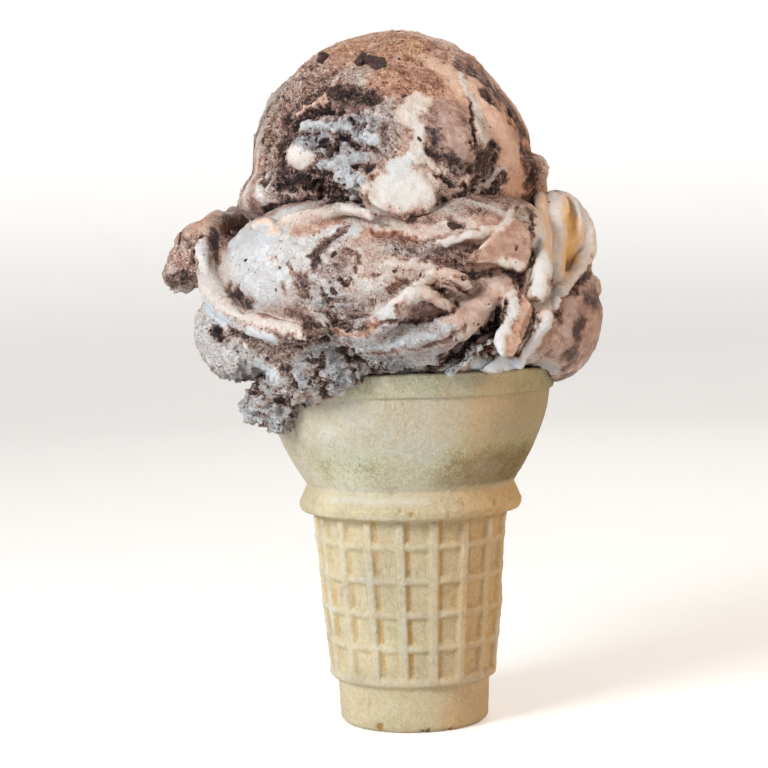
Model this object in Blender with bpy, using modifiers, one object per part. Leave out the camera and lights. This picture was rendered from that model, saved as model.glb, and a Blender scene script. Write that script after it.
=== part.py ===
"""A flat-bottomed wafer cup with two scoops of vanilla ice cream and chocolate cookie.

Three solids: wafer_cup, a pressed shell with a rim band, a bowl, a collar, a waffle
grid and a plain foot; lower_scoop, the wide scoop that fills the cup, folds out over
its rim and hangs down outside it; and upper_scoop, the dome pressed into the lower one.

The origin is the middle of the foot's flat underside, and +Z runs up the cup's axis.
+X and -Y are the right and the front. Sizes below are in millimetres.
"""

import math
from typing import NamedTuple

import bmesh
import bpy
from mathutils import Matrix, Vector

MM = 0.001

# Wafer cup: outer radii and heights above the foot
CUP_HEIGHT = 76.2
RIM_RADIUS = 31.8
BAND_BOTTOM = 71.2
BAND_BOTTOM_RADIUS = 30.9
BAND_STEP = 0.8
NECK_HEIGHT = 51.3
NECK_RADIUS = 22.1
BOWL_ROUNDNESS = 1.7
COLLAR_RADIUS = 23.9
COLLAR_WIDEST = 47.3
COLLAR_BOTTOM = 45.2
STEM_TOP = 44.6
STEM_TOP_RADIUS = 19.8
STEM_BOTTOM = 9.4
STEM_BOTTOM_RADIUS = 16.75
FOOT_TOP = 9.0
FOOT_TOP_RADIUS = 16.3
FOOT_RADIUS = 15.9
FOOT_ROUNDING = 0.9
WALL = 2.0
FLOOR = 2.6

# Waffle grid on the stem
UPRIGHT_RIBS = 18
FIRST_RIB_ANGLE = 3.5
RIB_HEIGHT = 0.85
RIB_HALF_WIDTH = 1.3
TOP_RING_HEIGHT = 39.8
RING_SPACING = 7.2
RINGS = 5

# Ice cream
SCOOP_DIAMETER = 59.0
DOME_CENTRE = (-2.4, 0.0, 117.2)
PRESSED_DEPTH = 14.0
TOUCHING_GAP = 0.3
SEAT_GAP = 0.4
CUP_FILL_TOP = 80.0
VOXEL = 1.1
LOWER_FACES = 3250
UPPER_FACES = 1350

STEPS_PER_RIB = 3
TURN_STEPS = UPRIGHT_RIBS * STEPS_PER_RIB


class Lump(NamedTuple):
    """An ellipsoid of ice cream: its centre, its half-widths along X, Y and Z, and the
    degrees it leans towards the right about Y and is turned about Z."""

    centre: tuple
    half: tuple
    lean: float = 0.0
    turn: float = 0.0


class Lip(NamedTuple):
    """A rolled edge of ice cream: the points on its middle line, and its radius."""

    path: tuple
    radius: float


UPPER_LUMPS = (
    Lump(DOME_CENTRE, (SCOOP_DIAMETER / 2,) * 3),
    Lump((-3.0, 2.0, 111.0), (30.5, 28.5, 7.5)),
    Lump((-28.0, -6.0, 113.0), (7.5, 12.0, 4.4), -28.0),
    Lump((25.6, -6.5, 116.4), (4.2, 7.0, 3.6), -20.0),
    Lump((26.0, -2.0, 112.5), (4.2, 8.0, 4.0)),
    Lump((1.0, -25.6, 112.0), (9.5, 4.6, 5.2), -12.0),
    Lump((-10.5, -25.5, 116.2), (4.2, 4.2, 3.6)),
    Lump((-19.5, -22.5, 120.4), (4.0, 3.6, 3.4)),
    Lump((17.0, -17.6, 125.5), (3.6, 3.6, 10.0), -32.0),
    Lump((9.5, -25.0, 123.6), (7.0, 4.2, 5.0), 20.0),
    Lump((6.0, 27.5, 111.5), (16.0, 6.5, 5.5)),
    Lump((-19.0, 22.0, 112.5), (10.0, 8.0, 5.0), 0.0, 40.0),
)

UPPER_HOLLOWS = (
    Lump((-13.0, -30.6, 124.6), (8.6, 5.2, 4.4), -22.0),
    Lump((-17.5, -27.2, 112.6), (9.5, 4.2, 2.2), 12.0),
    Lump((17.8, -25.6, 111.5), (4.0, 5.0, 6.5), 24.0),
    Lump((14.0, 31.5, 120.5), (9.0, 4.0, 4.0), 18.0),
)

LOWER_LUMPS = (
    Lump((-5.5, -1.0, 93.5), (36.0, 37.5, 20.0)),
    Lump((9.0, -16.0, 98.5), (22.0, 20.0, 13.5), -12.0),
    Lump((-17.0, -14.0, 97.5), (19.5, 21.0, 14.5)),
    Lump((-2.5, 0.0, 84.8), (40.5, 40.0, 13.0)),
    Lump((31.0, -2.0, 86.0), (10.5, 20.0, 13.5), 6.0),
    Lump((30.5, 1.0, 99.0), (9.0, 14.0, 12.5), 0.0),
    Lump((-42.5, -3.0, 101.5), (6.5, 9.0, 6.0), 40.0),
    Lump((-47.0, -4.0, 97.0), (3.8, 6.0, 4.6)),
    Lump((-38.5, -7.0, 83.0), (5.8, 13.0, 8.6), -20.0),
    Lump((-35.0, -12.0, 77.6), (5.4, 9.0, 3.4)),
    Lump((-27.0, -16.0, 71.5), (5.0, 8.0, 5.0)),
    Lump((-30.4, -14.0, 69.0), (4.4, 6.0, 3.2)),
    Lump((-26.6, -16.0, 66.6), (3.4, 5.0, 3.2)),
    Lump((-14.5, -24.0, 77.6), (13.0, 11.0, 6.0), -16.0),
    Lump((17.5, -28.5, 101.0), (8.5, 6.0, 5.6), -42.0),
    Lump((9.0, 34.0, 82.0), (17.0, 8.0, 8.5)),
    Lump((-22.0, 30.0, 80.5), (11.0, 9.0, 9.5)),
    Lump((27.0, 24.0, 84.0), (9.0, 10.0, 8.0)),
    Lump((-4.0, 32.0, 100.0), (15.0, 8.0, 6.5), 12.0),
)

LOWER_HOLLOWS = (
    Lump((31.2, -16.5, 103.5), (4.2, 5.0, 9.5), 8.0),
    Lump((12.6, -42.0, 80.0), (7.0, 5.0, 2.6), -28.0),
    Lump((-29.0, -37.5, 95.0), (9.0, 4.6, 3.4), 38.0),
    Lump((26.5, -31.5, 96.0), (3.0, 6.0, 5.0)),
    Lump((14.0, 42.5, 92.0), (12.0, 4.0, 3.0), 14.0),
)

LOWER_LIPS = (
    Lip(
        (
            (-36.5, 6.0, 108.0),
            (-40.0, -4.0, 107.5),
            (-42.0, -10.0, 102.0),
            (-41.0, -16.0, 95.5),
            (-35.5, -28.0, 89.5),
            (-27.0, -36.5, 86.5),
            (-18.5, -40.5, 85.0),
        ),
        2.3,
    ),
    Lip(
        (
            (-14.0, -40.5, 87.5),
            (-10.0, -42.0, 84.8),
            (-5.0, -43.0, 86.5),
            (0.1, -42.4, 90.6),
            (5.0, -40.5, 92.5),
            (10.0, -39.8, 89.5),
            (17.0, -36.0, 92.5),
            (23.5, -30.5, 95.5),
        ),
        2.3,
    ),
    Lip(
        (
            (23.8, -17.0, 111.0),
            (26.0, -22.0, 104.0),
            (26.5, -26.0, 96.0),
            (29.5, -26.5, 90.5),
        ),
        2.0,
    ),
    Lip(
        (
            (27.5, -8.0, 110.5),
            (33.0, -9.0, 109.5),
            (37.6, -9.5, 104.5),
            (38.6, -11.0, 98.0),
            (35.5, -17.5, 93.0),
            (31.0, -25.0, 90.5),
        ),
        2.0,
    ),
    Lip(((21.0, -33.0, 92.0), (20.0, -34.0, 86.5), (17.2, -31.8, 79.6)), 2.2),
    Lip(((27.6, -29.6, 90.4), (27.8, -29.4, 86.0), (23.6, -26.6, 78.6)), 1.9),
    Lip(
        (
            (40.5, 6.0, 92.0),
            (36.0, 20.0, 95.0),
            (24.0, 33.0, 91.0),
            (8.0, 40.5, 93.0),
            (-10.0, 40.0, 90.0),
            (-28.0, 31.0, 93.0),
            (-38.0, 18.0, 98.0),
            (-36.5, 6.0, 108.0),
        ),
        2.5,
    ),
)


def clear_scene():
    for obj in list(bpy.data.objects):
        bpy.data.objects.remove(obj)


def new_collection(name):
    collection = bpy.data.collections.new(name)
    bpy.context.scene.collection.children.link(collection)
    return collection


def new_object(name, mesh, collection):
    obj = bpy.data.objects.new(name, mesh)
    collection.objects.link(obj)
    return obj


def evaluated_mesh(obj):
    """The object's mesh with its modifiers applied."""
    bpy.context.view_layer.update()
    graph = bpy.context.evaluated_depsgraph_get()
    return bpy.data.meshes.new_from_object(obj.evaluated_get(graph))


def as_cutter(obj):
    obj.hide_render = True
    obj.display_type = "WIRE"
    return obj


def food_material(name, colour, roughness):
    material = bpy.data.materials.new(name)
    material.use_nodes = True
    shader = material.node_tree.nodes["Principled BSDF"]
    shader.inputs["Base Color"].default_value = (*colour, 1.0)
    shader.inputs["Roughness"].default_value = roughness
    shader.inputs["Metallic"].default_value = 0.0
    return material


def turned(name, profile, collection, steps=TURN_STEPS):
    """Turns a profile of (radius, height) points, which runs down its outer side, about Z."""
    mesh = bpy.data.meshes.new(name)
    points = [(radius * MM, 0.0, height * MM) for radius, height in profile]
    mesh.from_pydata(points, [(i, i + 1) for i in range(len(points) - 1)], [])
    obj = new_object(name, mesh, collection)
    screw = obj.modifiers.new("turn", "SCREW")
    screw.steps = steps
    screw.render_steps = steps
    screw.use_merge_vertices = True
    screw.merge_threshold = 0.00001
    return obj


def bowl_radius(height):
    """The bowl swells quickly above the neck and stands nearly upright under the rim band."""
    below = (BAND_BOTTOM - height) / (BAND_BOTTOM - NECK_HEIGHT)
    widest = BAND_BOTTOM_RADIUS - BAND_STEP
    return widest - (widest - NECK_RADIUS) * below**BOWL_ROUNDNESS


def stem_radius(height):
    """The stem's panels, between the ribs, taper evenly down to the foot."""
    along = (height - STEM_BOTTOM) / (STEM_TOP - STEM_BOTTOM)
    return STEM_BOTTOM_RADIUS + (STEM_TOP_RADIUS - STEM_BOTTOM_RADIUS) * along


def ring_heights():
    return [TOP_RING_HEIGHT - RING_SPACING * i for i in range(RINGS)]


def bowl_outline(levels=7):
    """Points down the outside of the bowl, from the rim band's step to the neck."""
    fall = BAND_BOTTOM - NECK_HEIGHT
    heights = [BAND_BOTTOM - fall * i / levels for i in range(levels + 1)]
    return [(bowl_radius(height), height) for height in heights]


def grid_outline():
    """Points down the stem, with a rib's height of swelling at each ring."""
    points = [(stem_radius(STEM_TOP), STEM_TOP)]
    for height in ring_heights():
        for offset, lift in ((RIB_HALF_WIDTH, 0.0), (0.0, RIB_HEIGHT), (-RIB_HALF_WIDTH, 0.0)):
            points.append((stem_radius(height + offset) + lift, height + offset))
    return points


def outer_outline():
    """Points down the outside of the cup, from the rim to the middle of the underside."""
    rim = [
        (RIM_RADIUS, CUP_HEIGHT - 0.5),
        (BAND_BOTTOM_RADIUS, BAND_BOTTOM + 0.7),
    ]
    collar = [
        (COLLAR_RADIUS, COLLAR_WIDEST),
        (COLLAR_RADIUS - 0.5, COLLAR_BOTTOM + 0.6),
        (STEM_TOP_RADIUS + RIB_HEIGHT, COLLAR_BOTTOM),
    ]
    foot = [
        (FOOT_TOP_RADIUS, FOOT_TOP),
        (FOOT_RADIUS, FOOT_ROUNDING),
        (FOOT_RADIUS - FOOT_ROUNDING, 0.0),
        (0.0, 0.0),
    ]
    return rim + bowl_outline() + collar + grid_outline() + foot


def inner_outline(gap=0.0):
    """Points up the inside of the cup, from the middle of its floor to the rim. A gap
    above zero draws them in, for what fills the cup."""
    inset = WALL + gap
    stem = [
        (stem_radius(FLOOR) - inset, FLOOR + gap),
        (stem_radius(STEM_TOP) - inset, STEM_TOP),
    ]
    bowl = [(radius - inset, height) for radius, height in reversed(bowl_outline(4))]
    return [(0.0, FLOOR + gap)] + stem + bowl


def press_waffle(mesh):
    """Draws the stem's columns together in threes, and raises the middle of each three
    into an upright rib that ends at the lowest ring."""
    rib_angle = 2 * math.pi / UPRIGHT_RIBS
    step = rib_angle / STEPS_PER_RIB
    half_rib = RIB_HALF_WIDTH / stem_radius((STEM_TOP + STEM_BOTTOM) / 2)
    lowest_ring = ring_heights()[-1]
    for vertex in mesh.vertices:
        x, y, height = (value / MM for value in vertex.co)
        radius = math.hypot(x, y)
        if not STEM_BOTTOM < height < STEM_TOP + 0.1 or radius < stem_radius(height) - 0.1:
            continue
        column = round(math.atan2(y, x) / step)
        rib = round(column / STEPS_PER_RIB)
        side = column - rib * STEPS_PER_RIB
        angle = rib * rib_angle + side * half_rib
        if side == 0 and height > lowest_ring - 0.1:
            radius = stem_radius(height) + RIB_HEIGHT
        vertex.co = Vector((radius * math.cos(angle), radius * math.sin(angle), height)) * MM
    mesh.transform(Matrix.Rotation(math.radians(FIRST_RIB_ANGLE), 4, "Z"))


def make_wafer_cup(collection, material):
    profile = inner_outline() + [(RIM_RADIUS - WALL, CUP_HEIGHT), (RIM_RADIUS - 0.5, CUP_HEIGHT)]
    turning = turned("cup_profile", profile + outer_outline(), collection)
    mesh = evaluated_mesh(turning)
    bpy.data.objects.remove(turning)
    press_waffle(mesh)
    mesh.materials.append(material)
    mesh.shade_smooth()
    mesh.set_sharp_from_angle(angle=math.radians(24))
    return new_object("wafer_cup", mesh, collection)


def make_cup_clearance(collection):
    """The cup's outer form a touching gap larger, which is cut out of the ice cream."""
    outline = [
        (0.0, CUP_HEIGHT + TOUCHING_GAP),
        (RIM_RADIUS + TOUCHING_GAP, CUP_HEIGHT + TOUCHING_GAP),
        (BAND_BOTTOM_RADIUS + TOUCHING_GAP, BAND_BOTTOM),
    ]
    outline += [(radius + TOUCHING_GAP, height) for radius, height in bowl_outline()[1:]]
    outline += [(COLLAR_RADIUS + TOUCHING_GAP, COLLAR_WIDEST), (0.0, COLLAR_WIDEST)]
    return as_cutter(turned("cup_clearance", outline, collection))


def make_cup_filling(collection):
    """What the cup holds, from just above its floor up into the lower scoop."""
    outline = inner_outline(TOUCHING_GAP)
    top_radius = RIM_RADIUS - WALL - TOUCHING_GAP - 0.6
    outline += [(top_radius, CUP_HEIGHT), (top_radius, CUP_FILL_TOP), (0.0, CUP_FILL_TOP)]
    return as_cutter(turned("cup_filling", outline[::-1], collection, steps=36))


def add_lump(bm, lump):
    place = Matrix.Translation(Vector(lump.centre) * MM)
    lean = Matrix.Rotation(math.radians(lump.lean), 4, "Y")
    turn = Matrix.Rotation(math.radians(lump.turn), 4, "Z")
    size = Matrix.Diagonal((*(Vector(lump.half) * MM), 1.0))
    form = place @ turn @ lean @ size
    bmesh.ops.create_uvsphere(bm, u_segments=40, v_segments=24, radius=1.0, matrix=form)


def add_lip(bm, lip):
    """Adds a tube along the lip's smooth line, with closed ends."""
    curve = bpy.data.curves.new("lip", "CURVE")
    curve.dimensions = "3D"
    curve.bevel_depth = lip.radius * MM
    curve.bevel_resolution = 3
    curve.use_fill_caps = True
    spline = curve.splines.new("NURBS")
    spline.points.add(len(lip.path) - 1)
    for point, place in zip(spline.points, lip.path):
        point.co = (*(Vector(place) * MM), 1.0)
    spline.order_u = 4
    spline.use_endpoint_u = True
    tube = bpy.data.objects.new("lip", curve)
    bpy.context.scene.collection.objects.link(tube)
    bm.from_mesh(evaluated_mesh(tube))
    bpy.data.objects.remove(tube)


def gathered(name, lumps, lips, collection):
    """An object of all the lumps and lips, each still a closed form of its own."""
    bm = bmesh.new()
    for lump in lumps:
        add_lump(bm, lump)
    for lip in lips:
        add_lip(bm, lip)
    bmesh.ops.remove_doubles(bm, verts=bm.verts, dist=0.00001)
    mesh = bpy.data.meshes.new(name)
    bm.to_mesh(mesh)
    bm.free()
    return new_object(name, mesh, collection)


def add_skin(obj, name):
    skin = obj.modifiers.new(name, "REMESH")
    skin.mode = "VOXEL"
    skin.voxel_size = VOXEL * MM
    skin.use_smooth_shade = True


def ice_cream_mass(name, lumps, hollows, lips, faces, collection):
    """One uneven skin round the lumps and lips, less the hollows, in about so many faces."""
    obj = gathered(name, lumps, lips, collection)
    add_skin(obj, "one skin")
    scooped = as_cutter(gathered(name + "_hollows", hollows, (), bpy.data.collections["cutters"]))
    add_boolean(obj, scooped, "DIFFERENCE")
    add_skin(obj, "one skin again")
    blend = obj.modifiers.new("soften", "SMOOTH")
    blend.factor = 0.5
    blend.iterations = 4
    unevenness = bpy.data.textures.new(name + "_unevenness", "CLOUDS")
    unevenness.noise_scale = 0.011
    unevenness.noise_depth = 1
    uneven = obj.modifiers.new("unevenness", "DISPLACE")
    uneven.texture = unevenness
    uneven.texture_coords = "LOCAL"
    uneven.strength = 2.4 * MM
    uneven.mid_level = 0.5
    fewer = obj.modifiers.new("fewer faces", "DECIMATE")
    bpy.context.view_layer.update()
    graph = bpy.context.evaluated_depsgraph_get()
    fine = sum(len(face.vertices) - 2 for face in obj.evaluated_get(graph).data.polygons)
    fewer.ratio = faces / fine
    return obj


def add_boolean(obj, other, operation):
    modifier = obj.modifiers.new(f"{operation.lower()} {other.name}", "BOOLEAN")
    modifier.operation = operation
    modifier.object = other
    modifier.solver = "EXACT"


def make_seat_clearance(upper_scoop, collection):
    """The upper scoop a seat gap larger, which presses its seat into the lower scoop."""
    seat = as_cutter(new_object("seat_clearance", evaluated_mesh(upper_scoop), collection))
    grow = seat.modifiers.new("grow", "DISPLACE")
    grow.strength = SEAT_GAP * MM
    grow.mid_level = 0.0
    return seat


def make_upper_scoop(collection, material):
    pressed = Lump((DOME_CENTRE[0], DOME_CENTRE[1], DOME_CENTRE[2] - 4.0), (28.5, 28.5, PRESSED_DEPTH))
    lumps = UPPER_LUMPS + (pressed,)
    scoop = ice_cream_mass("upper_scoop", lumps, UPPER_HOLLOWS, (), UPPER_FACES, collection)
    level = make_pressing_floor()
    add_boolean(scoop, level, "DIFFERENCE")
    scoop.data.materials.append(material)
    return scoop


def make_pressing_floor():
    """A block whose top is the level that the dome is pressed down to."""
    bottom = DOME_CENTRE[2] - PRESSED_DEPTH
    bm = bmesh.new()
    place = Matrix.Translation(Vector((0.0, 0.0, bottom - 30.0)) * MM)
    size = Matrix.Diagonal((0.12, 0.12, 0.06, 1.0))
    bmesh.ops.create_cube(bm, size=1.0, matrix=place @ size)
    mesh = bpy.data.meshes.new("pressing_floor")
    bm.to_mesh(mesh)
    bm.free()
    return as_cutter(new_object("pressing_floor", mesh, bpy.data.collections["cutters"]))


def make_lower_scoop(collection, material, cutters, upper_scoop):
    forms = (LOWER_LUMPS, LOWER_HOLLOWS, LOWER_LIPS)
    scoop = ice_cream_mass("lower_scoop", *forms, LOWER_FACES, collection)
    add_boolean(scoop, make_cup_clearance(cutters), "DIFFERENCE")
    add_boolean(scoop, make_cup_filling(cutters), "UNION")
    add_boolean(scoop, make_seat_clearance(upper_scoop, cutters), "DIFFERENCE")
    scoop.data.materials.append(material)
    return scoop


def main():
    clear_scene()
    parts = new_collection("ice_cream_cone")
    cutters = new_collection("cutters")
    wafer = food_material("wafer", (0.76, 0.64, 0.42), 0.75)
    ice_cream = food_material("cookie_ice_cream", (0.74, 0.64, 0.58), 0.45)
    make_wafer_cup(parts, wafer)
    upper_scoop = make_upper_scoop(parts, ice_cream)
    make_lower_scoop(parts, ice_cream, cutters, upper_scoop)


main()
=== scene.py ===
"""Looks for a flat-bottomed wafer cup with two scoops of cookie ice cream.

The cup, the ice cream and the cookie are in millimetres, with the origin in the middle of
the foot's underside, +Z up the cup and -Y towards the front, and their meshes are made in
metres. The floor, the lights and the camera are in metres.

Each scoop is modelled as a field of distances to its lumps, hollows, rolled lips and
petals. The field's zero surface is skinned, and its skin is then raised into streaks,
torn flakes and crumbs. What the ice cream is stained with is kept on its points.
"""

import math
from typing import NamedTuple

import bmesh
import bpy
import numpy as np
from bpy.props import FloatProperty, FloatVectorProperty, IntProperty, PointerProperty
from mathutils import Euler, Matrix, Vector


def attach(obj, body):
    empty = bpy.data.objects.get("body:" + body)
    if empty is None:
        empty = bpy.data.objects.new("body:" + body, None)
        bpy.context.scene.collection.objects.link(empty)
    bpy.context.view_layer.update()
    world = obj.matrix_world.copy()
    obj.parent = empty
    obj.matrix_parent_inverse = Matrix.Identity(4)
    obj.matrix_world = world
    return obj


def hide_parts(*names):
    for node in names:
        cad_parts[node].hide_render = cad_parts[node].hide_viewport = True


bl_info = {
    "name": "Ice cream cone",
    "version": (1, 0, 0),
    "blender": (4, 5, 0),
    "location": "3D View > Sidebar > Ice cream cone",
    "description": "Builds a wafer cup with two scoops of cookie ice cream",
    "category": "Add Mesh",
}

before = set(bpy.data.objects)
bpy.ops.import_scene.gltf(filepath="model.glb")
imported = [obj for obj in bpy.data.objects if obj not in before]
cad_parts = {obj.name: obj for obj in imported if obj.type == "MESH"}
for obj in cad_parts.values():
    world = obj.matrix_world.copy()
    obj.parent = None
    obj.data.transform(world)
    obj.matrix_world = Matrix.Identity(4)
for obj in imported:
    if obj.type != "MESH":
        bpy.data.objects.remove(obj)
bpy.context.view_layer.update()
MM = 0.001


# ---------------- noise

CELL_PRIMES = (73856093, 19349663, 83492791)
SEED_PRIME = 2654435761
MIXING_PRIMES = (2246822519, 3266489917)
WORD = 0xFFFFFFFF
LAYER_STEP = 2.03


def lattice_values(cells, seed):
    """A steady random number from -1 to 1 for each whole-numbered cell."""
    first, second, third = (cells[..., axis] * CELL_PRIMES[axis] for axis in range(3))
    mixed = (first ^ second ^ third ^ (seed * SEED_PRIME)) & WORD
    mixed = (mixed ^ (mixed >> 15)) * MIXING_PRIMES[0] & WORD
    mixed = (mixed ^ (mixed >> 13)) * MIXING_PRIMES[1] & WORD
    return ((mixed ^ (mixed >> 16)) & 0xFFFF) / 32767.5 - 1.0


def noise(places, size, seed):
    """Smooth noise from about -1 to 1, whose lumps are about as large as the size."""
    scaled = np.asarray(places, np.float64) / size
    base = np.floor(scaled)
    within = scaled - base
    ease = within * within * (3 - 2 * within)
    cells = base.astype(np.int64)
    total = np.zeros(scaled.shape[:-1])
    for corner in np.ndindex(2, 2, 2):
        weight = np.ones(scaled.shape[:-1])
        for axis in range(3):
            share = ease[..., axis]
            weight = weight * (share if corner[axis] else 1 - share)
        total += weight * lattice_values(cells + np.array(corner), seed)
    return total


def layered_noise(places, size, seed, layers=3, fall=0.55):
    """Noise in layers, each about half as large as the one before and weaker by the fall."""
    total = 0.0
    share = 1.0
    whole = 0.0
    for layer in range(layers):
        total = total + share * noise(places, size / LAYER_STEP**layer, seed + 31 * layer)
        whole += share
        share *= fall
    return total / whole


def cell_distance(places, size, seed):
    """The distance to the nearest of many scattered points, in shares of the size."""
    scaled = np.asarray(places, np.float64) / size
    base = np.floor(scaled).astype(np.int64)
    nearest = np.full(scaled.shape[:-1], np.inf)
    for step in np.ndindex(3, 3, 3):
        cell = base + (np.array(step) - 1)
        offsets = [lattice_values(cell, seed + 7 * axis) * 0.5 + 0.5 for axis in range(3)]
        away = cell + np.stack(offsets, -1) - scaled
        nearest = np.minimum(nearest, (away * away).sum(-1))
    return np.sqrt(nearest)


def ramp(values, low, high):
    """0 below low, 1 above high, and a smooth rise between them."""
    share = np.clip((values - low) / (high - low), 0.0, 1.0)
    return share * share * (3 - 2 * share)


# ---------------- forms

FAR = 9.0  # the largest distance that a field holds
MARGIN = 2.0  # how far past its blend a form may change a field
PLATE_EDGE = 0.5  # the rounding of a torn sheet's edges
WAVER = 0.7  # how far a field's places are shifted, so that no form is quite even
WAVER_SIZE = 9.0
TINY = 1e-6


class Lump(NamedTuple):
    """An ellipsoid: centre, half-widths, degrees of lean to the right and of turn."""

    centre: tuple
    half: tuple
    lean: float = 0.0
    turn: float = 0.0
    blend: float = 3.0

    def reach(self):
        span = max(self.half)
        centre = np.array(self.centre)
        return centre - span, centre + span

    def local(self, places):
        turning = Euler((0.0, math.radians(self.lean), math.radians(self.turn))).to_matrix()
        return (places - np.array(self.centre, np.float32)) @ np.array(turning, np.float32)

    def distance(self, places):
        half = np.array(self.half, np.float32)
        scaled = self.local(places) / half
        out = np.sqrt((scaled * scaled).sum(-1)) + TINY
        slope = np.sqrt(((scaled / half) ** 2).sum(-1)) + TINY
        return out * (out - 1) / slope


class Lip(NamedTuple):
    """A rolled edge along a smooth line of points, with its radius at start, middle and
    end."""

    path: tuple
    radii: tuple
    blend: float = 1.6

    def line(self, steps=5):
        """Points along the smooth curve through the path."""
        points = [np.array(point, float) for point in self.path]
        points = [2 * points[0] - points[1], *points, 2 * points[-1] - points[-2]]
        made = []
        for before, start, end, after in zip(points, points[1:], points[2:], points[3:]):
            square = 2 * before - 5 * start + 4 * end - after
            cube = 3 * start - before - 3 * end + after
            for step in range(steps):
                t = step / steps
                made.append(0.5 * (2 * start + (end - before) * t + square * t * t + cube * t**3))
        made.append(points[-2])
        return np.array(made)

    def radius_at(self, share):
        first, middle, last = self.radii
        if share < 0.5:
            return first + (middle - first) * share * 2
        return middle + (last - middle) * (share * 2 - 1)


class Plate(NamedTuple):
    """A torn sheet that faces the front: an outline given as right and up, the depth of its
    front in the middle, how far that recedes for each millimetre right and up, and its
    thickness."""

    outline: tuple
    front: float
    recede: tuple
    thick: float
    blend: float = 0.6

    def reach(self):
        points = np.array(self.outline)
        low, high = points.min(0), points.max(0)
        tilt = float(np.abs(self.recede) @ (high - low)) / 2
        return (
            np.array([low[0], self.front - tilt, low[1]]),
            np.array([high[0], self.front + tilt + self.thick, high[1]]),
        )

    def distance(self, places):
        seen = places[..., [0, 2]]
        points = np.array(self.outline, np.float32)
        nearest = np.full(seen.shape[:-1], 1e6, np.float32)
        inside = np.zeros(seen.shape[:-1], bool)
        for start, end in zip(points, np.roll(points, -1, 0)):
            run = end - start
            shift = seen - start
            along = np.clip((shift @ run) / (run @ run), 0.0, 1.0)[..., None]
            nearest = np.minimum(nearest, ((shift - along * run) ** 2).sum(-1))
            if run[1]:
                between = (start[1] > seen[..., 1]) != (end[1] > seen[..., 1])
                inside ^= between & (shift[..., 0] < shift[..., 1] * run[0] / run[1])
        across = np.sqrt(nearest) * np.where(inside, -1, 1) + PLATE_EDGE
        lowest = self.front + (seen - points.mean(0)) @ np.array(self.recede, np.float32)
        deep = np.abs(places[..., 1] - lowest - self.thick / 2) - self.thick / 2 + PLATE_EDGE
        outside = np.hypot(np.maximum(across, 0), np.maximum(deep, 0))
        return outside + np.minimum(np.maximum(across, deep), 0) - PLATE_EDGE


def soft_least(first, second, blend):
    """The lesser of two distances, with a rounded meeting as wide as the blend."""
    share = np.clip(0.5 + 0.5 * (second - first) / blend, 0.0, 1.0)
    return second * (1 - share) + first * share - blend * share * (1 - share)


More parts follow.
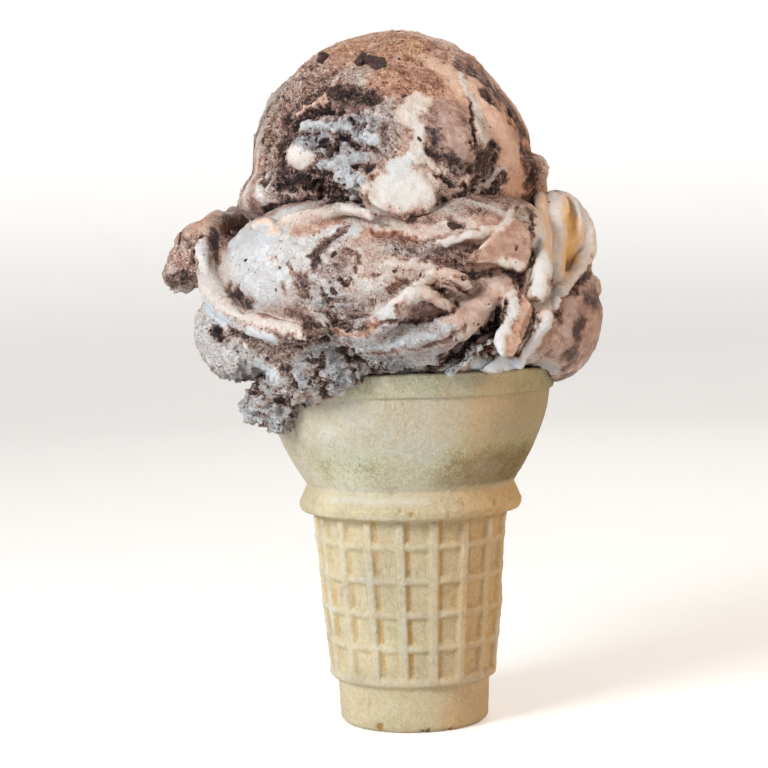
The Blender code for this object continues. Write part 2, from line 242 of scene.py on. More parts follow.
class Field:
    """Distances to a form's surface on a grid of points, below zero inside it."""

    def __init__(self, low, high, spacing, seed):
        self.low = np.array(low, float)
        self.spacing = spacing
        self.counts = np.ceil((np.array(high) - self.low) / spacing).astype(int) + 1
        lines = [
            (self.low[axis] + spacing * np.arange(self.counts[axis])).astype(np.float32)
            for axis in range(3)
        ]
        self.places = np.stack(np.meshgrid(*lines, indexing="ij"), -1)
        self.places += self.wavering(seed)
        self.depth = np.full(tuple(self.counts), FAR, np.float32)

    def wavering(self, seed):
        """A slow random shift of every place, read from a coarse grid of shifts."""
        coarse = np.ceil(self.counts * self.spacing / WAVER_SIZE).astype(int) + 3
        source = np.random.default_rng(seed)
        shifts = source.uniform(-WAVER, WAVER, (*coarse, 3)).astype(np.float32)
        for axis in range(3):
            at = np.arange(self.counts[axis]) * self.spacing / WAVER_SIZE
            base = at.astype(int)
            share = (at - base).astype(np.float32)
            share = share * share * (3 - 2 * share)
            shape = [1, 1, 1, 1]
            shape[axis] = -1
            share = share.reshape(shape)
            before, after = np.take(shifts, base, axis), np.take(shifts, base + 1, axis)
            shifts = before * (1 - share) + after * share
        return shifts

    def block(self, low, high, margin):
        """The part of the grid that holds a box and the margin round it."""
        first = np.floor((np.array(low) - margin - self.low) / self.spacing).astype(int)
        last = np.ceil((np.array(high) + margin - self.low) / self.spacing).astype(int) + 1
        first = np.clip(first, 0, self.counts)
        last = np.clip(last, 0, self.counts)
        return tuple(slice(a, b) for a, b in zip(first, last))

    def change(self, block, distance, blend, hollow):
        """Joins a form to the field, or cuts a hollow from it."""
        now = self.depth[block]
        if hollow:
            self.depth[block] = -soft_least(-now, distance, blend)
        else:
            self.depth[block] = soft_least(now, distance, blend)

    def add(self, form, hollow=False):
        if isinstance(form, Lip):
            self.add_lip(form, hollow)
            return
        block = self.block(*form.reach(), margin=form.blend + MARGIN)
        self.change(block, form.distance(self.places[block]), form.blend, hollow)

    def add_lip(self, lip, hollow):
        line = lip.line()
        low, high = line.min(0), line.max(0)
        whole = self.block(low, high, max(lip.radii) + lip.blend + MARGIN)
        distance = np.full(self.depth[whole].shape, FAR, np.float32)
        origin = [piece.start for piece in whole]
        for index in range(len(line) - 1):
            start, end = line[index], line[index + 1]
            share = (index + 0.5) / (len(line) - 1)
            radius = lip.radius_at(share)
            reach = radius + lip.blend + MARGIN
            part = self.block(np.minimum(start, end), np.maximum(start, end), reach)
            inner = tuple(slice(p.start - o, p.stop - o) for p, o in zip(part, origin))
            shift = self.places[part] - start.astype(np.float32)
            run = (end - start).astype(np.float32)
            along = np.clip((shift @ run) / (run @ run), 0.0, 1.0)[..., None]
            near = shift - along * run
            length = np.sqrt((near * near).sum(-1)) - radius
            distance[inner] = np.minimum(distance[inner], length)
        self.change(whole, distance, lip.blend, hollow)

    def keep_outside(self, distance_of, block):
        """Cuts the form away wherever the given distance is below zero."""
        cut = distance_of(self.places[block])
        self.depth[block] = np.maximum(self.depth[block], -cut)

    def skin(self):
        """Points and four-sided faces on the zero surface, one point in each cell that
        the surface crosses."""
        depth = self.depth
        inside = depth < 0
        corners = list(np.ndindex(2, 2, 2))
        spans = [slice(None, -1), slice(1, None)]
        count = np.zeros(tuple(np.array(depth.shape) - 1), np.uint8)
        for corner in corners:
            count += inside[tuple(spans[c] for c in corner)]
        crossed = (count > 0) & (count < 8)
        cells = np.argwhere(crossed)
        number = np.full(count.shape, -1, np.int64)
        number[crossed] = np.arange(len(cells))
        values = {c: depth[tuple((cells + np.array(c)).T)].astype(np.float64) for c in corners}
        total = np.zeros((len(cells), 3))
        crossings = np.zeros(len(cells))
        for corner in corners:
            for axis in range(3):
                if corner[axis]:
                    continue
                other = tuple(c + (a == axis) for a, c in enumerate(corner))
                first, second = values[corner], values[other]
                apart = (first < 0) != (second < 0)
                share = np.where(apart, first / np.where(apart, first - second, 1.0), 0.0)
                total += np.where(apart[:, None], np.array(corner, float), 0.0)
                total[:, axis] += share
                crossings += apart
        points = self.low + self.spacing * (cells + total / crossings[:, None])
        faces = []
        for axis in range(3):
            ends = [slice(None)] * 3
            starts = [slice(None)] * 3
            starts[axis] = slice(None, -1)
            ends[axis] = slice(1, None)
            flips = inside[tuple(starts)] != inside[tuple(ends)]
            edges = np.argwhere(flips)
            second, third = (axis + 1) % 3, (axis + 2) % 3
            for side in (second, third):
                edges = edges[(edges[:, side] > 0) & (edges[:, side] < number.shape[side])]
            round_edge = []
            for back_second, back_third in ((1, 1), (0, 1), (0, 0), (1, 0)):
                cell = edges.copy()
                cell[:, second] -= back_second
                cell[:, third] -= back_third
                round_edge.append(number[tuple(cell.T)])
            quads = np.stack(round_edge, 1)
            starts_inside = inside[tuple(edges.T)]
            quads[~starts_inside] = quads[~starts_inside][:, ::-1]
            faces.append(quads)
        return points, np.concatenate(faces)


# ---------------- ice cream's forms

DOME_RADIUS = 29.5
DOME_CENTRE = (-2.4, 0.0, 117.2)

UPPER_FORMS = (
    # the dome, its pressed foot and the lumps on its sides
    Lump(DOME_CENTRE, (DOME_RADIUS,) * 3),
    Lump((-3.0, 2.0, 111.0), (30.5, 28.5, 7.5)),
    Lump((-28.0, -6.0, 113.0), (7.5, 12.0, 4.4), -28.0),
    Lump((25.6, -6.5, 116.4), (4.2, 7.0, 3.6), -20.0, blend=2.0),
    Lump((26.0, -2.0, 112.5), (4.2, 8.0, 4.0), blend=2.0),
    # the pale sheet in front and the small lumps beside the cavity
    Plate(
        (
            (-8.2, 115.4), (-5.8, 116.4), (-2.2, 118.0), (-0.6, 116.8), (2.4, 116.7),
            (4.4, 114.5), (5.8, 112.8), (6.6, 110.2), (5.0, 108.2), (0.1, 107.2),
            (-3.8, 108.2), (-7.4, 111.0),
        ),
        -30.6,
        (0.13, 0.24),
        4.0,
        1.6,
    ),
    Lump((-10.5, -25.5, 116.2), (4.2, 4.2, 3.6), blend=1.6),
    Lump((-19.5, -22.5, 120.4), (4.0, 3.6, 3.4), blend=1.6),
    # the ridge on the right, and the lumps behind
    Lump((17.0, -17.6, 125.5), (3.6, 3.6, 10.0), -32.0),
    Lump((9.5, -25.0, 123.6), (7.0, 4.2, 5.0), 20.0),
    Lump((6.0, 27.5, 111.5), (16.0, 6.5, 5.5)),
    Lump((-19.0, 22.0, 112.5), (10.0, 8.0, 5.0), 0.0, 40.0),
)

UPPER_HOLLOWS = (
    Lump((-13.0, -30.6, 124.6), (8.6, 5.2, 4.4), -22.0, blend=1.2),
    Lump((-17.5, -27.2, 112.6), (9.5, 4.2, 2.2), 12.0, blend=1.0),
    Lump((17.8, -25.6, 111.5), (4.0, 5.0, 6.5), 24.0, blend=1.4),
    Lump((14.0, 31.5, 120.5), (9.0, 4.0, 4.0), 18.0, blend=1.4),
)

LOWER_FORMS = (
    # the mass of the scoop and its skirt
    Lump((-5.5, -1.0, 93.5), (36.0, 37.5, 20.0)),
    Lump((9.0, -16.0, 98.5), (22.0, 20.0, 13.5), -12.0),
    Lump((-17.0, -14.0, 97.5), (19.5, 21.0, 14.5)),
    Lump((-2.5, 0.0, 84.8), (40.5, 40.0, 13.0), blend=2.0),
    Lump((31.0, -2.0, 86.0), (10.5, 20.0, 13.5), 6.0),
    Lump((30.5, 1.0, 99.0), (9.0, 14.0, 12.5)),
    # the torn left side, and the drip over the rim
    Lump((-42.5, -3.0, 101.5), (6.5, 9.0, 6.0), 40.0),
    Lump((-47.0, -4.0, 97.0), (3.8, 6.0, 4.6)),
    Lump((-38.5, -7.0, 83.0), (5.8, 13.0, 8.6), -20.0),
    Lump((-35.0, -12.0, 77.6), (5.4, 9.0, 3.4)),
    Lump((-27.0, -16.0, 71.5), (5.0, 8.0, 5.0), blend=2.0),
    Lump((-30.4, -14.0, 69.0), (4.4, 6.0, 3.2), blend=2.0),
    Lump((-26.6, -16.0, 66.6), (3.4, 5.0, 3.2), blend=2.0),
    Lump((-14.5, -24.0, 77.6), (13.0, 11.0, 6.0), -16.0),
    # lumps behind
    Lump((9.0, 34.0, 82.0), (17.0, 8.0, 8.5)),
    Lump((-22.0, 30.0, 80.5), (11.0, 9.0, 9.5)),
    Lump((27.0, 24.0, 84.0), (9.0, 10.0, 8.0)),
    Lump((-4.0, 32.0, 100.0), (15.0, 8.0, 6.5), 12.0),
    # the long rope on the left, the wave in front and the fold under it
    Lip(
        (
            (-36.5, 6.0, 108.0), (-40.0, -4.0, 107.5), (-42.0, -10.0, 102.0),
            (-41.0, -16.0, 95.5), (-35.5, -28.0, 89.5), (-27.0, -36.5, 86.5),
            (-18.5, -40.5, 85.0),
        ),
        (2.2, 2.2, 2.4),
    ),
    Lip(
        (
            (-14.0, -40.5, 87.5), (-10.0, -42.0, 84.8), (-5.0, -43.2, 86.6),
            (-1.6, -43.4, 89.4), (1.6, -43.0, 92.2), (5.4, -41.4, 91.2),
            (9.4, -38.8, 87.4),
        ),
        (2.0, 1.9, 0.9),
        1.0,
    ),
    Lip(
        (
            (-8.0, -38.8, 82.8), (1.0, -39.2, 83.2), (9.0, -37.8, 85.2),
            (14.6, -35.6, 89.0), (20.0, -32.4, 93.4),
        ),
        (1.8, 2.9, 1.7),
        3.2,
    ),
    # the curl on the right
    Lump((32.2, -6.0, 102.5), (6.2, 9.5, 10.5), 4.0),
    Lip(((28.2, -10.0, 111.4), (28.5, -16.5, 104.5), (28.8, -22.0, 98.0)), (1.3, 1.6, 1.1), blend=0.9),
    Lip(
        ((31.2, -9.0, 110.8), (31.5, -14.5, 104.5), (31.1, -19.5, 98.0), (30.4, -24.5, 93.4)),
        (2.0, 2.3, 0.9),
        blend=0.7,
    ),
    Lip(((27.6, -27.0, 102.6), (26.9, -31.4, 97.0), (26.0, -33.4, 92.4)), (0.6, 2.0, 2.5), blend=0.6),
    Lip(
        (
            (30.5, -6.0, 111.0), (34.6, -7.5, 110.0), (37.4, -9.0, 105.8),
            (38.2, -11.5, 100.4), (36.0, -16.5, 96.8), (33.0, -22.0, 94.0),
            (30.6, -28.0, 91.8),
        ),
        (1.2, 1.6, 1.3),
        0.8,
    ),
    Plate(
        (
            (19.0, 91.4), (21.2, 92.8), (22.6, 92.2), (25.4, 89.4), (24.6, 86.6),
            (22.6, 82.0), (20.8, 79.4), (18.4, 79.6), (17.2, 82.0), (18.4, 87.0),
        ),
        -37.6,
        (0.38, 0.1),
        4.5,
    ),
    Lump((27.2, -33.6, 86.6), (1.9, 1.9, 2.4), 14.0, blend=0.5),
    Lip(
        ((26.6, -33.6, 85.4), (25.0, -33.4, 82.2), (23.2, -32.6, 79.2), (22.4, -31.6, 77.4)),
        (1.3, 1.15, 1.3),
        blend=0.5,
    ),
    Plate(
        ((13.4, 76.7), (16.4, 79.2), (19.4, 79.9), (22.8, 79.2), (23.2, 77.0), (20.0, 76.2), (16.4, 76.0)),
        -33.0,
        (0.45, 0.0),
        4.0,
    ),
    Lump((30.6, -29.4, 92.2), (1.7, 1.4, 1.1), 24.0, blend=0.9),
    Lump((29.6, -31.6, 89.8), (0.9, 1.0, 1.5), -14.0, blend=0.6),
    Lip(((15.0, -34.6, 98.6), (18.6, -33.6, 104.0), (22.0, -27.0, 109.4)), (1.2, 1.3, 0.9), blend=0.9),
    Lip(
        ((5.0, -36.5, 101.2), (10.0, -37.0, 102.8), (14.0, -35.8, 103.6), (17.0, -34.0, 104.6)),
        (0.9, 1.5, 1.0),
        blend=0.8,
    ),
    Lip(
        ((-30.4, -24.0, 106.6), (-27.4, -27.0, 106.8), (-25.6, -28.6, 104.8)),
        (0.7, 1.2, 0.6),
        blend=0.9,
    ),
    Lip(
        ((-24.0, -28.4, 107.4), (-19.0, -30.6, 108.2), (-12.0, -31.2, 108.8), (-7.0, -32.0, 107.6)),
        (0.8, 1.3, 0.9),
        blend=2.0,
    ),
    Lump((8.0, -38.4, 94.6), (5.2, 2.4, 2.0), 14.0, blend=1.2),
    Lip(
        ((2.6, -40.6, 93.8), (5.6, -40.2, 96.0), (8.8, -39.4, 96.2), (12.8, -36.8, 93.0)),
        (0.8, 1.1, 0.6),
        blend=0.7,
    ),
    Lip(((8.0, -33.5, 76.8), (11.6, -36.4, 79.6), (15.5, -37.0, 82.6)), (1.2, 1.5, 1.0), blend=0.5),
    Lip(
        (
            (40.5, 6.0, 92.0), (36.0, 20.0, 95.0), (24.0, 33.0, 91.0), (8.0, 40.5, 93.0),
            (-10.0, 40.0, 90.0), (-28.0, 31.0, 93.0), (-38.0, 18.0, 98.0),
            (-36.5, 6.0, 108.0),
        ),
        (2.4, 2.4, 2.4),
    ),
    Plate(
        (
            (21.4, 107.0), (23.2, 105.6), (24.8, 103.4), (24.4, 99.2), (23.8, 96.2),
            (22.6, 95.6), (21.2, 96.8), (19.8, 96.6), (18.2, 97.4), (14.6, 97.6),
            (11.4, 97.8), (13.0, 99.8), (15.4, 101.8), (18.2, 104.6),
        ),
        -36.2,
        (0.42, 0.22),
        4.0,
    ),
)

LOWER_HOLLOWS = (
    Lip(((25.6, -29.0, 108.0), (25.2, -30.2, 102.0), (25.0, -30.0, 97.6)), (1.0, 1.2, 1.0), blend=0.5),
    Lip(
        ((25.0, -30.5, 97.0), (22.4, -34.8, 94.6), (18.0, -36.4, 95.8), (13.0, -37.2, 95.0)),
        (1.0, 1.1, 0.8),
        blend=0.5,
    ),
    Lip(((34.7, -9.5, 110.6), (34.9, -15.0, 104.0), (34.0, -19.5, 98.6)), (0.9, 1.9, 1.0), blend=0.5),
    Lip(((29.7, -11.8, 111.0), (29.9, -18.2, 104.0), (29.8, -22.4, 98.0)), (0.4, 0.6, 0.5), blend=0.4),
    Lip(((25.4, -34.4, 90.0), (23.4, -36.2, 85.5), (20.8, -35.6, 80.0)), (0.9, 1.1, 0.9), blend=0.4),
    Lip(((29.6, -31.6, 86.0), (28.0, -31.8, 82.0), (25.0, -30.6, 77.5)), (1.6, 1.9, 1.9), blend=0.7),
    Lip(
        ((-40.2, -13.0, 106.0), (-39.6, -15.0, 99.5), (-35.4, -27.5, 94.4), (-31.5, -33.0, 90.4)),
        (0.9, 1.2, 1.6),
        blend=0.5,
    ),
    Lip(((3.0, -38.2, 99.4), (8.0, -38.4, 99.2), (12.0, -37.4, 99.6)), (0.5, 1.0, 0.5), blend=0.7),
    Lump((4.6, -43.4, 88.2), (4.6, 2.4, 1.7), -12.0, blend=0.8),
    Lump((10.2, -37.0, 106.2), (1.6, 2.4, 1.3), -20.0, blend=0.4),
    Lump((12.6, -42.0, 80.0), (7.0, 5.0, 2.6), -28.0, blend=1.0),
    Lump((-29.0, -37.5, 95.0), (9.0, 4.6, 3.4), 38.0, blend=1.4),
    Lump((14.0, 42.5, 92.0), (12.0, 4.0, 3.0), 14.0, blend=1.2),
)


# What each point of the ice cream holds, as columns of a table.
COCOA, CRUMBS, WARMTH, TORN = range(4)


class Patch(NamedTuple):
    """A stained or clean place: an ellipsoid of the surface, and what it holds there.
    Cocoa, crumbs and tearing run from 0 to 1, and warmth from -1, bluish, to 2, buttery."""

    centre: tuple
    half: tuple
    lean: float
    cocoa: float
    crumbs: float
    warmth: float
    torn: float = 0.3

    def share(self, places):
        lump = Lump(self.centre, self.half, self.lean)
        away = np.sqrt(((lump.local(places) / np.array(self.half)) ** 2).sum(-1))
        return 1.0 - ramp(away, 0.6, 1.18)


class Stroke(NamedTuple):
    """A streak across the front, along points given as right and up, with its half-width.
    It holds what a patch does, and rises from the surface or, below zero, sinks into it."""

    path: tuple
    width: float
    cocoa: float
    crumbs: float
    warmth: float
    torn: float
    rise: float = 0.0

    def share(self, places):
        nearest = np.full(len(places), 1e6)
        seen = places[:, [0, 2]]
        for start, end in zip(self.path, self.path[1:]):
            start, end = np.array(start, float), np.array(end, float)
            run = end - start
            along = np.clip((seen - start) @ run / (run @ run), 0.0, 1.0)[:, None]
            near = seen - start - along * run
            nearest = np.minimum(nearest, (near * near).sum(-1))
        share = 1.0 - ramp(np.sqrt(nearest) / self.width, 0.35, 1.3)
        return share * ramp(-places[:, 1], 0.0, 4.0)


UPPER_PATCHES = (
    Patch((0, 0, 147), (34, 34, 19), 0, 0.38, 0.45, 1.3, 0.4),
    Patch((-21, -14, 129), (11, 16, 13), 0, 0.42, 0.8, 0.6, 0.65),
    Patch((24, 2, 128), (12, 26, 14), 0, 0.24, 0.2, 1.0, 0.15),
    Patch((8, -24, 131.5), (9, 12, 5), 20, 0.36, 0.25, 1.1, 0.2),
    Patch((11, -20, 134), (9, 12, 2.4), 42, 0.12, 0.1, 1.3, 0.1),
    Patch((1, -26, 134), (10, 12, 4), 0, 0.46, 0.4, 1.2, 0.4),
    Patch((8, -26, 124.5), (7, 8, 7), 0, 0.58, 0.3, 0.2, 0.15),
    Patch((-12, -27, 123.4), (10, 8, 5.4), -12, 0.3, 0.5, -0.8, 1.0),
    Patch((1, -28, 119), (7, 8, 7.5), 0, 0.42, 0.3, 0.4, 0.3),
    Patch((-19, -24, 114), (13, 12, 6.5), 8, 0.8, 0.8, 0.1, 0.8),
    Patch((16.5, -22, 114.5), (9, 9, 7.5), 24, 0.66, 0.6, -0.5, 0.6),
    Patch((-20.6, -22.8, 119.8), (3.6, 6, 3.2), 0, 0.02, 0.1, 0.6, 0.1),
    Patch((-0.5, -28.8, 112.4), (7.4, 8, 5.0), -8, 0.0, 0.03, 0.05, 0.1),
    Patch((28, -4, 116), (5, 9, 6), 0, 0.28, 0.3, 0.6, 0.3),
)

UPPER_STROKES = (
    # the right side
    Stroke(((12, 137), (16, 130), (20, 121), (23, 114)), 3.6, 0.26, 0.12, 1.15, 0.0, 0.2),
    Stroke(((13, 139), (18, 136), (22, 131), (26, 122)), 2.6, 0.74, 0.5, 0.7, 0.3, -0.3),
    Stroke(((16.5, 132.6), (19.5, 129), (23, 127)), 0.8, 1.0, 0.4, 0.0, 0.4, -1.0),
    Stroke(((25.6, 121), (26.5, 116), (26.0, 113)), 1.1, 0.7, 0.4, 0.6, 0.3, -0.5),
    Stroke(((12.5, 136), (15.2, 129), (17, 122)), 0.9, 0.2, 0.3, -0.1, 0.2, 0.2),
    Stroke(((13.6, 131), (14.6, 125), (14.8, 118.5)), 0.6, 0.9, 0.2, -0.2, 0.1, -0.8),
    # round the pale sheet
    Stroke(((9, 127), (11, 122), (12.5, 119)), 2.4, 0.46, 0.1, -0.1, 0.0, 0.5),
    Stroke(((1.6, 127.6), (3.2, 123.4), (2.2, 119.6)), 1.4, 0.16, 0.1, 0.1, 0.1, 0.4),
    Stroke(((-1.6, 116.4), (1.4, 118.4), (3.4, 119.2)), 1.8, 0.0, 0.1, -0.3, 0.2, 0.5),
    Stroke(((-4.2, 119.4), (-6.2, 121.4)), 1.2, 0.55, 0.4, -0.3, 0.4),
    Stroke(((5.2, 124.2), (5.8, 121.4), (7.4, 119.2), (10.6, 118.2)), 1.5, 0.76, 0.6, -1.0, 0.3, -0.7),
    Stroke(((9, 111.4), (13, 115), (16, 118)), 1.2, 0.42, 0.3, -0.3, 0.2, 0.5),
    Stroke(((12, 109), (16, 113), (20.6, 117)), 0.9, 0.28, 0.3, -0.4, 0.3, 0.5),
    Stroke(((14, 116.5), (17.5, 119), (18, 121)), 1.5, 0.86, 0.7, -0.2, 0.4, -0.7),
    Stroke(((14.5, 109), (18, 111), (20.5, 115)), 1.0, 0.82, 0.6, -0.5, 0.4, -0.6),
    Stroke(((6.6, 115.6), (9.5, 113.8), (12, 113.6)), 0.7, 0.95, 0.3, 0.0, 0.2, -0.8),
    # above it and to its left
    Stroke(((0.5, 127), (3.4, 130)), 2.4, 0.12, 0.1, 0.5, 0.1, 0.5),
    Stroke(((-3.4, 129), (-1.2, 124.6), (-3.2, 120.6), (-6, 118.6)), 1.5, 0.4, 0.4, -0.8, 0.3, 0.4),
    # the dark swirl and the cavity
    Stroke(
        ((-29, 115.5), (-26.2, 120.7), (-22.8, 124.5), (-19.6, 127.8), (-15, 130)),
        1.1,
        0.98,
        0.8,
        0.0,
        0.6,
        -1.0,
    ),
    Stroke(((-23, 128), (-18.5, 131.5), (-13, 133.4)), 1.5, 0.8, 0.8, 0.2, 0.6, -0.3),
    Stroke(((-20.5, 129), (-15, 131.4)), 0.9, 0.35, 0.3, 0.9, 0.5, 0.5),
    Stroke(((-12.4, 132.4), (-9, 132), (-5.8, 130.6)), 2.0, 0.92, 0.9, -0.2, 0.6, -0.5),
    Stroke(((-21.4, 126.6), (-18.6, 128.4), (-15.8, 129.2), (-12, 129)), 0.7, 1.0, 0.7, 0.0, 0.7, -1.4),
    Stroke(((-10.2, 127), (-7.2, 125.8)), 0.5, 0.95, 0.5, 0.0, 0.4, -0.9),
    Stroke(((-2.8, 126.2), (-3.6, 121.6)), 0.8, 0.66, 0.4, -0.8, 0.3, -0.4),
    Stroke(((-14.2, 126), (-13.2, 123.6)), 0.8, 0.62, 0.5, 0.1, 0.8, 0.4),
    Stroke(((-13.2, 118.4), (-9.6, 118.0), (-7.2, 116.2)), 0.7, 0.85, 0.6, -0.3, 0.7, -0.9),
    Stroke(((-19.6, 126.2), (-14.5, 126.4), (-10, 125.6)), 0.9, 0.0, 0.2, -0.4, 0.8, 0.8),
    Stroke(((-20, 123.4), (-16, 123.4)), 1.8, 0.1, 0.8, -0.8, 1.0, 0.3),
    Stroke(((-12.0, 124.4), (-9.3, 121.6), (-5.6, 120.6)), 0.9, 0.95, 0.8, 0.1, 0.7, -1.2),
    Stroke(((-16.4, 122.4), (-13.6, 121.2)), 1.0, 0.95, 0.8, 0.1, 0.8, -1.2),
    Stroke(((-7, 123.6), (-5.2, 122.6)), 1.3, 0.0, 0.2, -0.3, 0.7, 1.2),
    # below the cavity
    Stroke(((-24.2, 120.5), (-24.4, 117.0), (-21.5, 115.4)), 0.8, 0.95, 0.6, 0.0, 0.5, -0.9),
    Stroke(((-16, 117.8), (-12.6, 119), (-8.2, 119)), 1.4, 0.06, 0.4, -0.6, 0.7, 0.7),
    Stroke(((-12.6, 117.4), (-11.2, 115.2), (-8.8, 113.6)), 2.2, 0.0, 0.2, -0.3, 1.0, 0.9),
    Stroke(((-26, 114.5), (-19, 114.4), (-13, 112.6)), 1.3, 0.95, 0.8, 0.0, 0.8, -0.9),
    Stroke(((-24, 112.6), (-19, 112.6), (-15, 111.4)), 0.8, 0.5, 0.5, 0.4, 0.6, 0.7),
    Stroke(((-28, 109.6), (-21, 110.2), (-13, 109.4), (-9, 109.6)), 1.3, 1.0, 0.8, 0.0, 0.6, -1.0),
    Stroke(((-6.5, 109.4), (-7.6, 113), (-5.4, 115.6)), 0.6, 0.55, 0.3, 0.8, 0.1, -0.6),
    Stroke(((2.8, 118.6), (5.4, 118.2), (7, 116)), 1.0, 0.12, 0.1, 0.7, 0.0, 0.6),
)

LOWER_PATCHES = (
    Patch((-42, -2, 101), (12, 14, 10), 0, 0.42, 0.5, 0.6, 0.4),
    Patch((9, -32, 102), (17, 12, 7), 0, 0.48, 0.35, 0.45, 0.4),
    Patch((-8, -36, 98), (7, 10, 8), 0, 0.38, 0.3, 0.3, 0.4),
    Patch((-15, -34, 98), (6, 9, 7), 0, 0.26, 0.4, -0.3, 0.3),
    Patch((1, -38, 97), (8, 8, 5), 0, 0.28, 0.3, 0.3, 0.3),
    Patch((12, -36, 97), (9, 9, 5), 0, 0.4, 0.5, 0.3, 0.5),
    Patch((-29, -27, 98.5), (11, 14, 10), 0, 0.09, 0.25, -0.4, 0.1),
    Patch((-20, -31, 101), (6, 9, 8), 0, 0.1, 0.3, -0.2, 0.2),
    Patch((18.8, -34, 101), (8.0, 9, 7.6), -30, 0.42, 0.1, 0.6, 0.0),
    Patch((32, -14, 102), (9, 18, 12), 0, 0.0, 0.0, 0.9, 0.0),
    Patch((38, -8, 85), (10, 24, 12), 0, 0.48, 0.12, 0.1, 0.05),
    Patch((-39, -18, 93), (6, 12, 9), 0, 0.16, 0.3, 0.2, 0.2),
    # the wall under the wave: cooler, greyer cream, partly painted shade under the overhang
    Patch((-3, -40, 82.0), (20, 12, 6.5), -6, 0.24, 0.5, -1.0, 0.4),
    Patch((13, -36, 87.0), (10, 9, 4.6), -25, 0.34, 0.15, -0.2, 0.1),
    Patch((-37, -20, 84), (12, 20, 8), 0, 0.04, 0.45, 0.0, 0.5),
    Patch((-27, -18, 71), (14, 14, 9), 0, 0.04, 0.8, -0.2, 1.0),
    Patch((-14, -33, 77.6), (14, 12, 5.5), -10, 0.06, 0.8, -0.4, 1.0),
    Patch((28, -28, 84), (4, 6, 9), 0, 0.5, 0.1, 0.1, 0.05),
)

